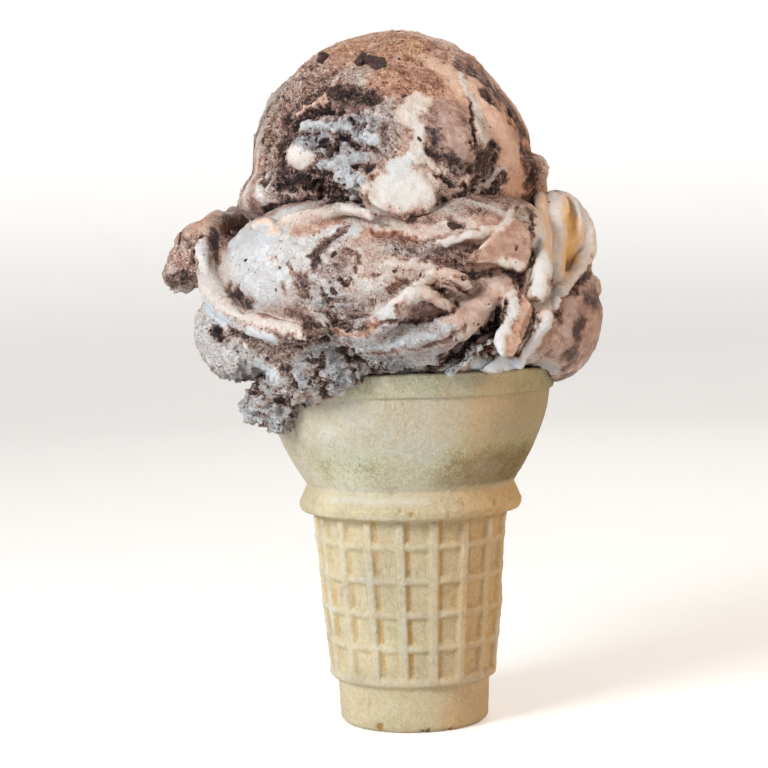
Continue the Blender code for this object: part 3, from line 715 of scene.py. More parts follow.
LOWER_STROKES = (
    # the ridge below the dome
    Stroke(((-30.4, 106.8), (-27.4, 106.8), (-25.8, 104.8)), 0.8, 0.1, 0.1, 1.1, 0.0, 0.2),
    Stroke(
        ((-23.6, 107.2), (-17, 107.8), (-10, 108), (-4, 106), (3, 104.2), (13, 105.6)),
        1.4,
        0.22,
        0.25,
        0.6,
        0.1,
    ),
    Stroke(((-12, 109.4), (-7.6, 108.8), (-4.6, 106.2)), 0.8, 0.04, 0.1, 0.3, 0.0, 0.3),
    Stroke(((-22, 105), (-14, 106.4), (-7, 104.6)), 1.2, 0.4, 0.2, 0.6, 0.1),
    Stroke(((-6, 105), (-1, 103.4), (2, 103)), 0.7, 0.62, 0.2, 1.0, 0.1, -0.6),
    # the pale mass on the left
    Stroke(((-14.5, 104.4), (-9.5, 105)), 1.3, 0.04, 0.1, -0.6, 0.1, 0.3),
    Stroke(((-11.8, 105.0), (-13.4, 104.2)), 0.8, 0.66, 0.9, -0.3, 0.5, -0.2),
    Stroke(((-14.2, 103.2), (-16.4, 102.2)), 1.2, 0.64, 0.9, -0.3, 0.5, -0.3),
    Stroke(((-16.2, 101.4), (-18.2, 99.8)), 1.5, 0.76, 0.8, -0.5, 0.5, -0.5),
    Stroke(((-17.2, 98.4), (-18.0, 97.0)), 0.8, 0.95, 0.6, -0.6, 0.3, -0.8),
    Stroke(((-11.3, 100.6), (-10.9, 100.2)), 0.9, 0.8, 0.7, 0.0, 0.4, -0.2),
    Stroke(((-6.8, 96.8), (-5.6, 96.0)), 0.8, 0.66, 0.7, 0.5, 0.4, -0.3),
    Stroke(((-2.4, 92.4), (-1.0, 91.6), (-1.6, 90.0)), 0.9, 0.72, 0.7, 0.8, 0.4, -0.3),
    Stroke(((-6.2, 91.2), (-5.4, 89.4)), 0.9, 0.55, 0.7, 0.9, 0.4),
    Stroke(((-10.2, 94.4), (-6.4, 93.8), (-4.0, 94.8)), 1.8, 0.16, 0.3, 0.1, 0.3, 0.2),
    Stroke(((-20.6, 95.0), (-19.4, 92.6)), 2.2, 0.76, 0.9, -0.4, 0.4, -0.2),
    Stroke(((-12.2, 98.2), (-13.6, 95.8)), 1.9, 0.7, 0.9, -0.4, 0.4, -0.2),
    Stroke(((-16.4, 97.0), (-14.2, 95.4)), 1.6, 0.34, 0.6, -0.6, 0.3),
    Stroke(((-13.0, 94.6), (-11.6, 94.0), (-10.4, 94.8)), 0.8, 0.95, 0.8, 0.2, 0.7, -0.8),
    Stroke(((-9.3, 100.8), (-9.4, 98.6), (-10.2, 96.6)), 0.35, 0.45, 0.3, 0.1, 0.3, -0.9),
    Stroke(((-23.2, 97.6), (-22.4, 96.2)), 0.8, 0.45, 0.7, 0.0, 0.3),
    Stroke(((-27.0, 99.6), (-25.6, 98.4)), 1.0, 0.24, 0.7, 0.3, 0.2),
    Stroke(((-24.2, 94.4), (-24.0, 92.6)), 0.6, 0.4, 0.7, 0.0, 0.2),
    Stroke(((-16.0, 92.6), (-15.2, 89.8), (-15.0, 87.4), (-14.4, 85.4)), 0.9, 0.92, 0.9, 0.1, 0.9, -0.9),
    Stroke(((-13.4, 87.6), (-11.4, 85.8)), 1.3, 0.75, 1.0, -0.4, 0.9, -0.2),
    # below the dome's right side
    Stroke(((8.8, 106.4), (11.2, 105.2)), 1.0, 1.0, 0.4, -0.2, 0.2, -0.8),
    Stroke(((5, 101), (9.8, 102.6), (13.8, 103.4), (16.8, 104.4)), 0.9, 0.16, 0.1, 0.1, 0.0, 0.3),
    Stroke(((3.5, 99), (9.7, 99.2), (14.6, 100.4)), 0.9, 0.62, 0.6, 0.1, 0.4, -0.3),
    Stroke(((7, 97.6), (13, 98.2)), 1.6, 0.56, 0.6, 0.6, 0.5),
    Stroke(((-3, 101.6), (3, 100.6), (7, 101)), 1.2, 0.38, 0.6, -0.4, 0.5),
    # the wave in front, and the folds under it
    Stroke(((-3.6, 98.6), (1, 98.6), (5.4, 97)), 1.0, 0.12, 0.2, 0.6, 0.2, 0.5),
    Stroke(((2.8, 93.9), (5.6, 96), (8.8, 96.2), (12.6, 93)), 0.8, 0.26, 0.2, 0.6, 0.1),
    Stroke(((6.0, 94.2), (9.0, 94.2), (11.4, 92.2)), 1.0, 0.6, 0.4, 0.5, 0.3),
    Stroke(((-2.6, 93.6), (-0.6, 95.0)), 1.2, 0.6, 0.6, 0.8, 0.4, -0.4),
    Stroke(((-6, 88.8), (-2, 91.4), (1.4, 93.2), (4.2, 92.6)), 0.9, 0.08, 0.1, 0.5, 0.0, 0.4),
    Stroke(((-1, 89), (3, 90.6), (7, 89)), 1.3, 0.62, 0.4, -0.3, 0.1, -0.4),
    Stroke(((3.0, 92.2), (6.2, 90.6), (9.2, 87.8)), 0.8, 0.36, 0.2, 0.8, 0.1),
    Stroke(((0.4, 88.0), (4.4, 88.6), (7.6, 87.2)), 1.3, 0.46, 0.3, -0.4, 0.1),
    Stroke(((9.4, 86.4), (14, 89.4), (18.6, 92.6)), 2.4, 0.36, 0.08, 0.3, 0.0),
    Stroke(((-8, 86.4), (-3, 87), (4, 87.4), (10, 89.4)), 0.7, 0.66, 0.4, -0.2, 0.2, -1.0),
    Stroke(((-14, 85.6), (-9, 84.6), (-6, 86.6)), 1.0, 0.5, 0.3, 0.7, 0.1, 0.2),
    # the cool band on the wall under the wave: partly painted shade under the overhang
    Stroke(((-9.6, 83.6), (-3, 83.2), (3, 84.4), (9, 85.8)), 1.0, 0.14, 0.4, -0.8, 0.4, 0.2),
    Stroke(((-6, 81.2), (1, 81.4), (7, 83.4), (12, 85.4)), 0.7, 0.62, 0.4, -0.2, 0.2, -0.5),
    Stroke(
        ((4.2, 76.4), (8.4, 79.2), (13.3, 82.4), (17.6, 85.4), (19.5, 88.6)),
        1.5,
        1.0,
        1.0,
        0.0,
        0.9,
        -0.8,
    ),
    Stroke(((8.4, 76.8), (11.6, 79.0), (15.0, 81.8)), 0.9, 0.04, 0.3, -0.8, 1.0, 0.2),
    Stroke(((14.4, 80), (16.6, 81)), 1.5, 0.66, 0.8, 0.9, 0.9),
    Stroke(((14, 77.2), (18, 78.2), (22, 77.8)), 1.6, 0.02, 0.1, -0.8, 0.1),
    # the petal and the finger beside it
    Stroke(((24.0, 90.6), (22.6, 86), (20.4, 81)), 1.8, 0.3, 0.15, 0.9, 0.0),
    Stroke(((19.0, 92), (21.4, 92.6)), 1.0, 0.1, 0.1, 0.6, 0.0),
    Stroke(((21.0, 90.4), (20.6, 88), (19.4, 85), (18.2, 80.4)), 1.2, 0.0, 0.0, -0.1, 0.0, 0.4),
    Stroke(((25.4, 89), (24.4, 86), (22.4, 81.6), (21.6, 79.8)), 0.5, 0.92, 0.3, 0.3, 0.0),
    Stroke(
        ((27.6, 88.6), (27.6, 86), (25.6, 82.8), (23.6, 79.4), (22.6, 77.4)),
        1.5,
        0.04,
        0.0,
        -0.2,
        0.0,
    ),
    Stroke(((26.4, 88.2), (27.6, 88.8)), 0.8, 0.12, 0.0, 0.8, 0.0),
    # the curl
    Stroke(((27.4, 102.4), (26.8, 97), (26.0, 91.4)), 2.4, 0.0, 0.0, 0.0, 0.0),
    Stroke(((24.6, 90.8), (25.8, 90.2)), 0.7, 0.5, 0.3, 0.3, 0.3),
    Stroke(((29.6, 91.8), (31.4, 92.4)), 1.5, 0.04, 0.0, 0.2, 0.0),
    Stroke(((29.6, 90.8), (29.2, 88.8)), 1.3, 0.0, 0.0, 0.0, 0.0),
    Stroke(
        ((25.4, 108), (25.4, 102), (25.2, 97.4), (22.6, 95), (18, 96), (13, 95.4)),
        0.7,
        0.95,
        0.6,
        0.2,
        0.4,
    ),
    Stroke(((14.6, 101.6), (17.6, 104.2), (21.4, 107.4)), 0.8, 0.08, 0.1, 0.6, 0.0),
    Stroke(((19.4, 97.8), (22.6, 97)), 1.0, 0.14, 0.1, 0.4, 0.0),
    Stroke(((28.4, 110.4), (28.6, 104), (29.2, 98)), 1.0, 0.08, 0.0, 1.5, 0.0),
    Stroke(((34.8, 110), (34.8, 103), (33.2, 96.4)), 2.1, 0.06, 0.0, 1.9, 0.0),
    Stroke(((31.0, 110), (31.3, 103), (30.6, 95)), 1.3, 0.0, 0.0, 0.5, 0.0),
    Stroke(((35.4, 110.4), (38, 106), (39, 101), (37, 97.6), (33.6, 94.6)), 1.5, 0.05, 0.2, 0.4, 0.2),
    # the right side
    Stroke(((40.6, 99), (39.4, 96.4), (36.5, 94), (34, 91.6)), 1.3, 0.92, 0.5, 0.0, 0.3, -0.4),
    Stroke(((41, 92), (38, 89.6)), 2.0, 0.8, 0.2, -0.2, 0.0),
    Stroke(((33.6, 90), (32.8, 83)), 1.6, 0.36, 0.1, -0.2, 0.0),
    Stroke(((35.6, 86), (34.6, 80)), 1.0, 0.78, 0.2, 0.3, 0.0),
    Stroke(((33.4, 77.4), (33.6, 75.6)), 2.6, 0.86, 0.2, 0.2, 0.0),
    # the torn left side and the rope
    Stroke(((-44, 106), (-42, 109)), 2.6, 0.34, 0.3, 1.0, 0.4),
    Stroke(((-45.6, 103), (-43, 104.4)), 1.3, 0.85, 0.9, 0.2, 0.7, -0.8),
    Stroke(((-44.4, 101), (-44, 98)), 0.8, 0.8, 0.7, 0.2, 0.6, -0.8),
    Stroke(((-42.4, 103), (-41.6, 98)), 1.4, 0.06, 0.2, 0.3, 0.4, 0.5),
    Stroke(((-40.2, 106), (-39.6, 99)), 0.9, 0.92, 0.5, 0.3, 0.3),
    Stroke(((-49, 95), (-46, 95.6)), 1.8, 0.72, 0.6, -0.2, 0.6),
    Stroke(((-35, 94), (-32, 90.8)), 1.6, 0.92, 0.4, -0.6, 0.2),
    Stroke(((-41.6, 95), (-36, 90.4), (-29, 87.6), (-21, 86)), 1.5, 0.12, 0.2, 0.5, 0.1),
    Stroke(((-19.6, 87), (-18.4, 85)), 1.6, 0.7, 0.5, 0.5, 0.4),
    Stroke(((-40, 90), (-36, 86.6)), 1.4, 0.02, 0.2, -0.9, 0.3),
    Stroke(((-31, 85.4), (-26, 83.4)), 1.2, 0.08, 0.1, -0.7, 0.1, 0.4),
    # the crumbly underside and the drip
    Stroke(((-39, 84.6), (-34, 84.4), (-28, 80.6)), 1.5, 0.74, 1.0, 0.0, 0.9, -0.2),
    Stroke(((-24, 83), (-16, 83.6)), 0.9, 0.85, 0.8, 0.0, 0.6, -0.7),
    Stroke(((-12.6, 80.6), (-9.6, 79.8)), 1.7, 0.9, 1.0, -0.2, 0.9, -0.4),
    Stroke(((-29.6, 78.4), (-27, 76.6)), 1.9, 0.0, 0.1, -0.6, 0.3, 0.6),
    Stroke(((-25, 77.6), (-22.6, 74.4)), 1.1, 0.85, 0.9, 0.4, 0.9, -0.4),
    Stroke(((-20, 77), (-17, 74.4)), 1.8, 0.4, 0.8, -0.1, 1.0, 0.3),
    Stroke(((-17.4, 76), (-16, 71.4)), 0.9, 1.0, 1.0, 0.0, 0.8, -0.6),
    Stroke(((-14, 76.2), (-10, 74.6)), 1.2, 0.02, 0.5, -0.4, 1.0, 0.4),
    Stroke(((-10, 74.4), (-5.4, 76.4)), 0.8, 0.95, 0.9, 0.0, 0.8, -0.4),
    Stroke(((-26.6, 70.6), (-21.6, 70)), 1.0, 0.92, 1.0, 0.0, 0.9, -0.5),
    Stroke(((-30.6, 73), (-28.4, 71)), 0.9, 0.82, 0.9, 0.6, 0.9, -0.4),
)

SWIRL_CENTRE = (-5.0, 118.0)
SWIRL_LENGTH = 7.0
SWIRL_DEPTH = 0.75
GIRDLE_LENGTH = 9.0
GIRDLE_SAG = 0.22
GIRDLE_LIFT = 7.0
STROKE_FRAY = 1.3
DARK_STROKE = 0.5


def swirl_grain(places):
    """Coordinates along and across the streaks, which circle the front of the dome."""
    right = places[:, 0] - SWIRL_CENTRE[0]
    up = places[:, 2] - SWIRL_CENTRE[1]
    away = np.hypot(right, up) + TINY
    across = away + SWIRL_DEPTH * places[:, 1]
    around = SWIRL_LENGTH * np.stack([right / away, up / away], 1)
    return np.column_stack([around, across])


def girdle_grain(places):
    """Coordinates along and across the streaks, which run round the lower scoop and sag
    towards its left."""
    away = np.hypot(places[:, 0], places[:, 1]) + TINY
    around = GIRDLE_LENGTH * places[:, :2] / away[:, None]
    lift = layered_noise(places, 16.0, 61, 2) * GIRDLE_LIFT
    return np.column_stack([around, places[:, 2] + GIRDLE_SAG * places[:, 0] + lift])


def noise_vectors(places, size, seed, layers, fall=0.55):
    """Three separate layered noises, as the parts of a shift."""
    parts = [layered_noise(places, size, seed + axis, layers, fall) for axis in range(3)]
    return np.column_stack(parts)


def stains(places, grain, patches, strokes, seed):
    """Cocoa, crumbs, warmth and tearing at each place, over a slow streaked ground, and
    how far the strokes raise it."""
    bend = noise_vectors(places, 7.0, seed + 50, 2)
    streaks = layered_noise(grain + 1.6 * bend, 3.6, seed, 3)
    threads = layered_noise(grain + 1.1 * bend, 1.3, seed + 3, 2)
    mottle = layered_noise(places, 2.6, seed + 4, 3, 0.65)
    broad = layered_noise(places, 13.0, seed + 5, 2)
    fine = layered_noise(places, 1.1, seed + 6, 2)
    ground = [  # cocoa, crumbs, warmth and tearing
        0.36 + 0.55 * streaks + 0.45 * broad,
        0.45 + 0.5 * broad,
        0.1 + 0.7 * layered_noise(places, 10.0, seed + 9, 2),
        0.35 + 0.6 * layered_noise(places, 8.0, seed + 13, 2),
    ]
    held = np.column_stack(ground)
    rise = np.zeros(len(places))
    frayed = places + 0.8 * bend + STROKE_FRAY * noise_vectors(places, 1.9, seed + 40, 3, 0.85)
    gaps = np.clip(0.8 + 1.1 * layered_noise(places, 2.6, seed + 44, 2), 0.0, 1.0)
    for mark in (*patches, *strokes):
        share = mark.share(frayed)
        if isinstance(mark, Stroke) and mark.cocoa > DARK_STROKE:
            share = share * gaps
        target = np.array([mark.cocoa, mark.crumbs, mark.warmth, mark.torn])
        held += share[:, None] * (target - held)
        if isinstance(mark, Stroke):
            rise += share * mark.rise
    cocoa = np.clip(held[:, COCOA], 0, 1)
    crumbs = held[:, CRUMBS]
    change = (0.05 + 1.05 * cocoa * (1.2 - cocoa)) * np.clip(0.35 + 1.2 * crumbs, 0.35, 1.1)
    uneven = 0.3 * streaks + 0.42 * threads + 0.42 * mottle + 0.45 * fine
    clumps = ramp(0.8 * mottle + 0.6 * fine, 0.14, 0.3)
    clumps = clumps * ramp(held[:, TORN], 0.65, 0.95) * ramp(crumbs, 0.5, 0.8)
    held[:, COCOA] = cocoa + change * uneven + 0.65 * clumps
    return held, rise


# ---------------- meshes

SHEET_WIDTH = 4.6
SHEET_LEVEL = 0.35
SMALL_SHEETS = 2.3  # how many small sheets lie across a large one
SUNK_DEPTH = 0.3


def gathered(index, values, count):
    """The sum of the values that fall on each point, for each of three axes."""
    sums = [np.bincount(index, weights=values[:, axis], minlength=count) for axis in range(3)]
    return np.stack(sums, 1)


def relaxed(points, faces, rounds):
    """Moves each point half of the way to the middle of its neighbours, some times over."""
    ends = np.concatenate([faces[:, [side, (side + 1) % 4]] for side in range(4)])
    ends = np.concatenate([ends, ends[:, ::-1]])
    neighbours = np.maximum(np.bincount(ends[:, 0], minlength=len(points))[:, None], 1)
    for _ in range(rounds):
        middle = gathered(ends[:, 0], points[ends[:, 1]], len(points)) / neighbours
        points = points + 0.5 * (middle - points)
    return points


def normals_of(points, faces):
    first, second, third, fourth = (points[faces[:, corner]] for corner in range(4))
    across = np.cross(third - first, fourth - second)
    total = sum(gathered(faces[:, corner], across, len(points)) for corner in range(4))
    return total / (np.linalg.norm(total, axis=1, keepdims=True) + 1e-9)


def quad_object(name, points, faces, values=None, vectors=None):
    """A smooth mesh object from points in millimetres, with values kept on its points."""
    mesh = bpy.data.meshes.new(name)
    mesh.vertices.add(len(points))
    mesh.vertices.foreach_set("co", (points * MM).astype(np.float32).ravel())
    mesh.loops.add(faces.size)
    mesh.loops.foreach_set("vertex_index", faces.astype(np.int32).ravel())
    mesh.polygons.add(len(faces))
    mesh.polygons.foreach_set("loop_start", np.arange(0, faces.size, faces.shape[1], dtype=np.int32))
    mesh.update(calc_edges=True)
    mesh.validate()
    mesh.shade_smooth()
    for key, column in (values or {}).items():
        kept = mesh.attributes.new(key, "FLOAT", "POINT")
        kept.data.foreach_set("value", column.astype(np.float32))
    for key, columns in (vectors or {}).items():
        kept = mesh.attributes.new(key, "FLOAT_VECTOR", "POINT")
        kept.data.foreach_set("vector", columns.astype(np.float32).ravel())
    piece = bpy.data.objects.new(name, mesh)
    bpy.context.scene.collection.objects.link(piece)
    return piece


def ledges(grain, places, seed):
    """Overlapping torn sheets: each rises slowly along the streaks and ends in a drop.
    Gives the share risen, and where a drop's foot lies."""
    phase = grain[:, 2] / SHEET_WIDTH + 1.5 * layered_noise(places, 7.5, seed, 3)
    phase = phase + 0.35 * noise(places, 1.6, seed + 2)
    share = phase - np.floor(phase)
    return share * share * (1 - ramp(share, 0.93, 1.0)), 1 - ramp(share, 0.0, 0.16)


def relief_height(points, grain, torn, rise, sheet, small_sheet, sheet_height, seed):
    """How far the skin stands out at each point: swells, sheets, flakes and crumbs."""
    height = 0.5 * layered_noise(points, 7.0, seed + 70, 2) + 0.8 * rise
    height += (0.1 + 0.45 * torn) * layered_noise(points, 3.3, seed + 75, 2)
    height += sheet_height * (sheet - SHEET_LEVEL)
    height += 0.55 * sheet_height * (small_sheet - SHEET_LEVEL)
    height += (0.08 + 0.3 * torn) * layered_noise(grain, 1.9, seed + 80, 3)
    shreds = 0.5 - 3.2 * np.abs(layered_noise(points, 2.6, seed + 91, 2))
    clods = 0.5 - cell_distance(points + 0.6 * sheet[:, None], 2.1, seed + 93)
    bent = points + 0.5 * shreds[:, None]
    shards = 0.4 - 2.6 * np.abs(layered_noise(bent, 1.5, seed + 95, 2))
    crumbly = ramp(torn, 0.35, 0.95)
    height += crumbly * (0.7 * shreds + 0.6 * clods + 0.75 * shards)
    height += 0.8 * crumbly * layered_noise(points, 1.0, seed + 97, 2)
    return height + (1 - crumbly) * 0.14 * noise(points, 1.2, seed + 98)


def raised(points, faces, grain, held, rise, seed):
    """The skin raised into its relief. Its hollows then hold more cocoa and crumbs, partly as crumbs
    settled there and partly as painted shade, and the feet of its sheets more cocoa, as painted shade; its
    creases are tinted warmer or cooler, as painted shade, and its sheets are warm at their thin edges, as a
    painted glow."""
    torn = np.clip(held[:, TORN], 0, 1)
    sheet, foot = ledges(grain, points, seed + 60)
    small_sheet, small_foot = ledges(SMALL_SHEETS * grain, points * 1.9, seed + 160)
    bare = ramp(layered_noise(points, 9.0, seed + 66, 2), -0.35, 0.15)
    sheet_height = (0.12 + 1.1 * ramp(torn, 0.1, 0.7)) * bare
    height = relief_height(points, grain, torn, rise, sheet, small_sheet, sheet_height, seed)
    points = points + normals_of(points, faces) * height[:, None]
    smooth = relaxed(points, faces, 8)
    inwards = ((smooth - points) * normals_of(smooth, faces)).sum(1)
    sunk = np.clip(inwards / SUNK_DEPTH, -1.2, 1.5)
    stained = ramp(held[:, COCOA], 0.0, 0.35)
    # Painted shade: more cocoa at the foot of each sheet's drop, under its edge.
    held[:, COCOA] += (0.3 * foot + 0.22 * small_foot) * sheet_height * stained
    # Hollows hold more cocoa and crumbs: partly crumbs settled there, partly painted shade.
    held[:, COCOA] += (0.02 + 0.13 * stained) * sunk
    held[:, CRUMBS] += 0.25 * sunk
    # Painted glow: warmer cream at the sheets' thin edges.
    held[:, WARMTH] += 0.4 * sheet_height * ramp(sheet, 0.5, 0.9)
    # Painted shade tint in creases: warmer where the cream is warm, cooler where it is cool.
    held[:, WARMTH] += np.clip(sunk, 0, 1.5) * np.where(held[:, WARMTH] > 0.0, 0.55, -0.2)
    return points, held


class Scoop(NamedTuple):
    """What a scoop's skin is grown from: forms and hollows inside a box, the marks on it,
    the way that its streaks run, and what it's cut to fit."""

    name: str
    forms: tuple
    hollows: tuple
    patches: tuple
    strokes: tuple
    grain_of: object
    box: tuple
    seed: int
    fit: object = None

    def skin(self, spacing):
        """The scoop's mesh, with what it holds kept on its points."""
        field = Field(*self.box, spacing, self.seed)
        for form in self.forms:
            field.add(form)
        for form in self.hollows:
            field.add(form, hollow=True)
        if self.fit:
            self.fit(field)
        points, faces = field.skin()
        points = relaxed(points, faces, 1)
        grain = self.grain_of(points)
        held, rise = stains(points, grain, self.patches, self.strokes, self.seed)
        points, held = raised(points, faces, grain, held, rise, self.seed)
        values = dict(zip(("cocoa", "crumbs", "warmth", "torn"), held.T))
        return quad_object(f"{self.name}_scoop_skin", points, faces, values, {"grain": grain})


# ---------------- wafer cup

CUP_HEIGHT = 76.2
RIM_RADIUS = 31.8
BAND_BOTTOM = 71.2
BAND_BOTTOM_RADIUS = 30.9
BAND_STEP = 0.8
NECK_HEIGHT = 51.3
NECK_RADIUS = 22.1
BOWL_ROUNDNESS = 1.7
COLLAR_RADIUS = 23.9
COLLAR_WIDEST = 47.3
COLLAR_BOTTOM = 45.2
STEM_TOP = 44.6
STEM_TOP_RADIUS = 19.8
STEM_BOTTOM = 9.6
STEM_BOTTOM_RADIUS = 16.75
FOOT_TOP_RADIUS = 16.3
FOOT_RADIUS = 15.9
FOOT_ROUNDING = 0.9
CENTRE = 0.02  # radius of the middle points, which keeps the faces there open
WALL = 2.0
FLOOR = 2.6
UPRIGHT_RIBS = 18
FIRST_RIB_ANGLE = 3.5
RIB_HEIGHT = 1.0
RING_SHARE = 0.8
TOP_RING_HEIGHT = 39.8
RING_SPACING = 7.2
RINGS = 5
RIBS_FADE = (44.3, 45.3)  # heights between which the ribs sink into the collar
RIBS_END = 45.4
RIM_ROUNDING = 0.5
POINTS_ROUND_CUP = 520
ROUGH_SIDE = -50.0  # directions are in degrees from +X towards +Y
# the side, towards the key light, where highlights are painted on the neck and under the collar
PAINTED_HIGHLIGHT_SIDE = -112.0
# the side, at the front, where more painted shade is put on the ribs' right flanks
PAINTED_FLANK_SHADE_SIDE = math.degrees(-1.65)
# heights and widths of the painted highlights on the neck and under the collar
NECK_PAINTED_HIGHLIGHT = (49.7, 0.8)
COLLAR_PAINTED_HIGHLIGHT = (45.9, 0.45)
NICKS = (  # direction, height and size of each nick in the foot
    (-118.0, 1.2, 1.0),
    (-84.0, 0.0, 0.9),
    (-80.0, 0.5, 0.6),
    (-62.0, 0.2, 0.7),
    (40.0, 0.3, 0.9),
    (150.0, 0.4, 1.0),
)


def bowl_radius(height):
    below = np.clip((BAND_BOTTOM - height) / (BAND_BOTTOM - NECK_HEIGHT), 0.0, 1.0)
    widest = BAND_BOTTOM_RADIUS - BAND_STEP
    return widest - (widest - NECK_RADIUS) * below**BOWL_ROUNDNESS


def stem_radius(height):
    along = (height - STEM_BOTTOM) / (STEM_TOP - STEM_BOTTOM)
    return STEM_BOTTOM_RADIUS + (STEM_TOP_RADIUS - STEM_BOTTOM_RADIUS) * along


def outer_radius(height):
    """The cup's outer radius at any height, without its waffle grid."""
    height = np.asarray(height, float)
    points = [
        (0.0, FOOT_RADIUS - FOOT_ROUNDING),
        (FOOT_ROUNDING, FOOT_RADIUS),
        (STEM_BOTTOM - 0.3, FOOT_TOP_RADIUS),
        (STEM_BOTTOM, STEM_BOTTOM_RADIUS),
        (STEM_TOP, STEM_TOP_RADIUS),
        (COLLAR_BOTTOM, STEM_TOP_RADIUS + RIB_HEIGHT),
        (COLLAR_BOTTOM + 0.6, COLLAR_RADIUS - 0.5),
        (COLLAR_WIDEST, COLLAR_RADIUS),
        (NECK_HEIGHT, NECK_RADIUS),
    ]
    low = np.interp(height, *zip(*points))
    band = np.interp(height, [BAND_BOTTOM, CUP_HEIGHT], [BAND_BOTTOM_RADIUS, RIM_RADIUS])
    upper = np.where(height < BAND_BOTTOM, bowl_radius(height), band)
    return np.where(height < NECK_HEIGHT, low, upper)


def inner_radius(height):
    """The cup's inner radius at any height above its floor."""
    height = np.asarray(height, float)
    stem = stem_radius(np.minimum(height, STEM_TOP)) - WALL
    along_collar = np.clip((height - STEM_TOP) / (NECK_HEIGHT - STEM_TOP), 0, 1)
    collar_widening = NECK_RADIUS - WALL - stem_radius(STEM_TOP) + WALL
    collar = stem_radius(STEM_TOP) - WALL + collar_widening * along_collar
    band_radii = [BAND_BOTTOM_RADIUS - BAND_STEP - WALL, RIM_RADIUS - WALL]
    band = np.interp(height, [BAND_BOTTOM, CUP_HEIGHT], band_radii)
    upper = np.where(height < BAND_BOTTOM, bowl_radius(height) - WALL, band)
    return np.where(height < STEM_TOP, stem, np.where(height < NECK_HEIGHT, collar, upper))


def rounded_outline():
    """Even steps down the outside of the cup as (radius, height), with softened edges."""
    heights = np.concatenate([np.arange(CUP_HEIGHT - RIM_ROUNDING, 0.0, -0.05), [0.0]])
    line = np.column_stack([outer_radius(heights), heights])
    run = np.concatenate([[0.0], np.cumsum(np.linalg.norm(np.diff(line, axis=0), axis=1))])
    steps = np.linspace(0.0, run[-1], int(run[-1] / 0.1))
    line = np.column_stack([np.interp(steps, run, line[:, axis]) for axis in range(2)])
    width = 6
    padded = np.concatenate([[line[0]] * width, line, [line[-1]] * width])
    kernel = np.hanning(2 * width + 1)
    kernel /= kernel.sum()
    soft = np.column_stack([np.convolve(padded[:, axis], kernel, "valid") for axis in range(2)])
    return soft[::4]


def cup_outline():
    """The whole section, from the floor's middle inside, up over the rim, and down the
    outside to the middle of the underside, and the number of its first outside point."""
    shoulder = CUP_HEIGHT - RIM_ROUNDING
    heights = np.concatenate([np.linspace(FLOOR, 66.0, 14), np.linspace(67.0, shoulder, 18)])
    inside = np.column_stack([inner_radius(heights), heights])
    middle = (inner_radius(CUP_HEIGHT) + RIM_RADIUS) / 2
    half = (RIM_RADIUS - inner_radius(CUP_HEIGHT)) / 2
    lip = []
    for step in range(1, 8):
        turn = math.pi * (1 - step / 8)
        lip.append((middle + half * math.cos(turn), shoulder + RIM_ROUNDING * math.sin(turn)))
    under = [(radius, 0.0) for radius in (14.6, 13.0, 9.0, 4.0, CENTRE)]
    outline = np.concatenate([[(CENTRE, FLOOR)], inside, lip, rounded_outline(), under])
    return outline, len(inside) + len(lip)


def slopes(lift):
    """Where a rib's side rises, as 1, against 0 on its top and on the panels."""
    return np.clip(7.0 * lift * (0.62 - lift), 0, 1)


def waffle(radius, height, angle):
    """How far the ribs and rings stand above the stem's panels, in shares of a rib, and how much painted
    shade lies there: on the ribs' slopes and the panels' edges beside them, most on the uprights' right
    flanks, away from the key light. The rings are lower."""
    pitch = math.radians(360 / UPRIGHT_RIBS)
    from_rib = (angle - math.radians(FIRST_RIB_ANGLE) + pitch / 2) % pitch - pitch / 2
    rib = 1 - ramp(np.abs(from_rib) * radius, 0.55, 1.4)
    ring = np.zeros_like(rib)
    for index in range(RINGS):
        away = np.abs(height - (TOP_RING_HEIGHT - RING_SPACING * index))
        ring = np.maximum(ring, 1 - ramp(away, 0.3, 1.5))
    lowest = TOP_RING_HEIGHT - RING_SPACING * (RINGS - 1)
    ring = np.maximum(RING_SHARE * ring, 1 - ramp(height, lowest + 0.5, lowest + 1.35))
    stands = np.maximum(rib, ring) + 0.15 * np.minimum(rib, ring)
    from_foot = ramp(height, STEM_BOTTOM - 0.2, STEM_BOTTOM + 0.9)
    lift = stands * from_foot * (1 - ramp(height, *RIBS_FADE))
    # Painted shade lies on the ribs' slopes and on the panel's edge beside them, most on the right flanks,
    # away from the key light.
    beside = np.maximum(slopes(rib), 1 - ramp(np.abs(from_rib * radius - 1.6), 0.15, 0.5))
    flank_shade = np.where(from_rib > 0, 1.0, 0.25) * beside * (1 - ramp(ring, 0.1, 0.4))
    return lift, np.maximum(flank_shade, 0.25 * slopes(lift))


def bell(values, middle, width):
    """1 at the middle, falling smoothly to 0 about twice the width away."""
    return np.exp(-(((values - middle) / width) ** 2))


def turn_from(angle, direction):
    """The turn from a direction in degrees, as an angle from -pi to pi."""
    return (angle - math.radians(direction) + math.pi) % (2 * math.pi) - math.pi


def places_round(radius, height, angle):
    return np.stack([radius * np.cos(angle), radius * np.sin(angle), height], -1)


class Wear(NamedTuple):
    """Noise over the cup, and how rough, pitted and nicked it is there."""

    worn: np.ndarray
    fine: np.ndarray
    swell: np.ndarray
    wide: np.ndarray
    rough: np.ndarray
    at_collar: np.ndarray
    pitted: np.ndarray
    nick: np.ndarray


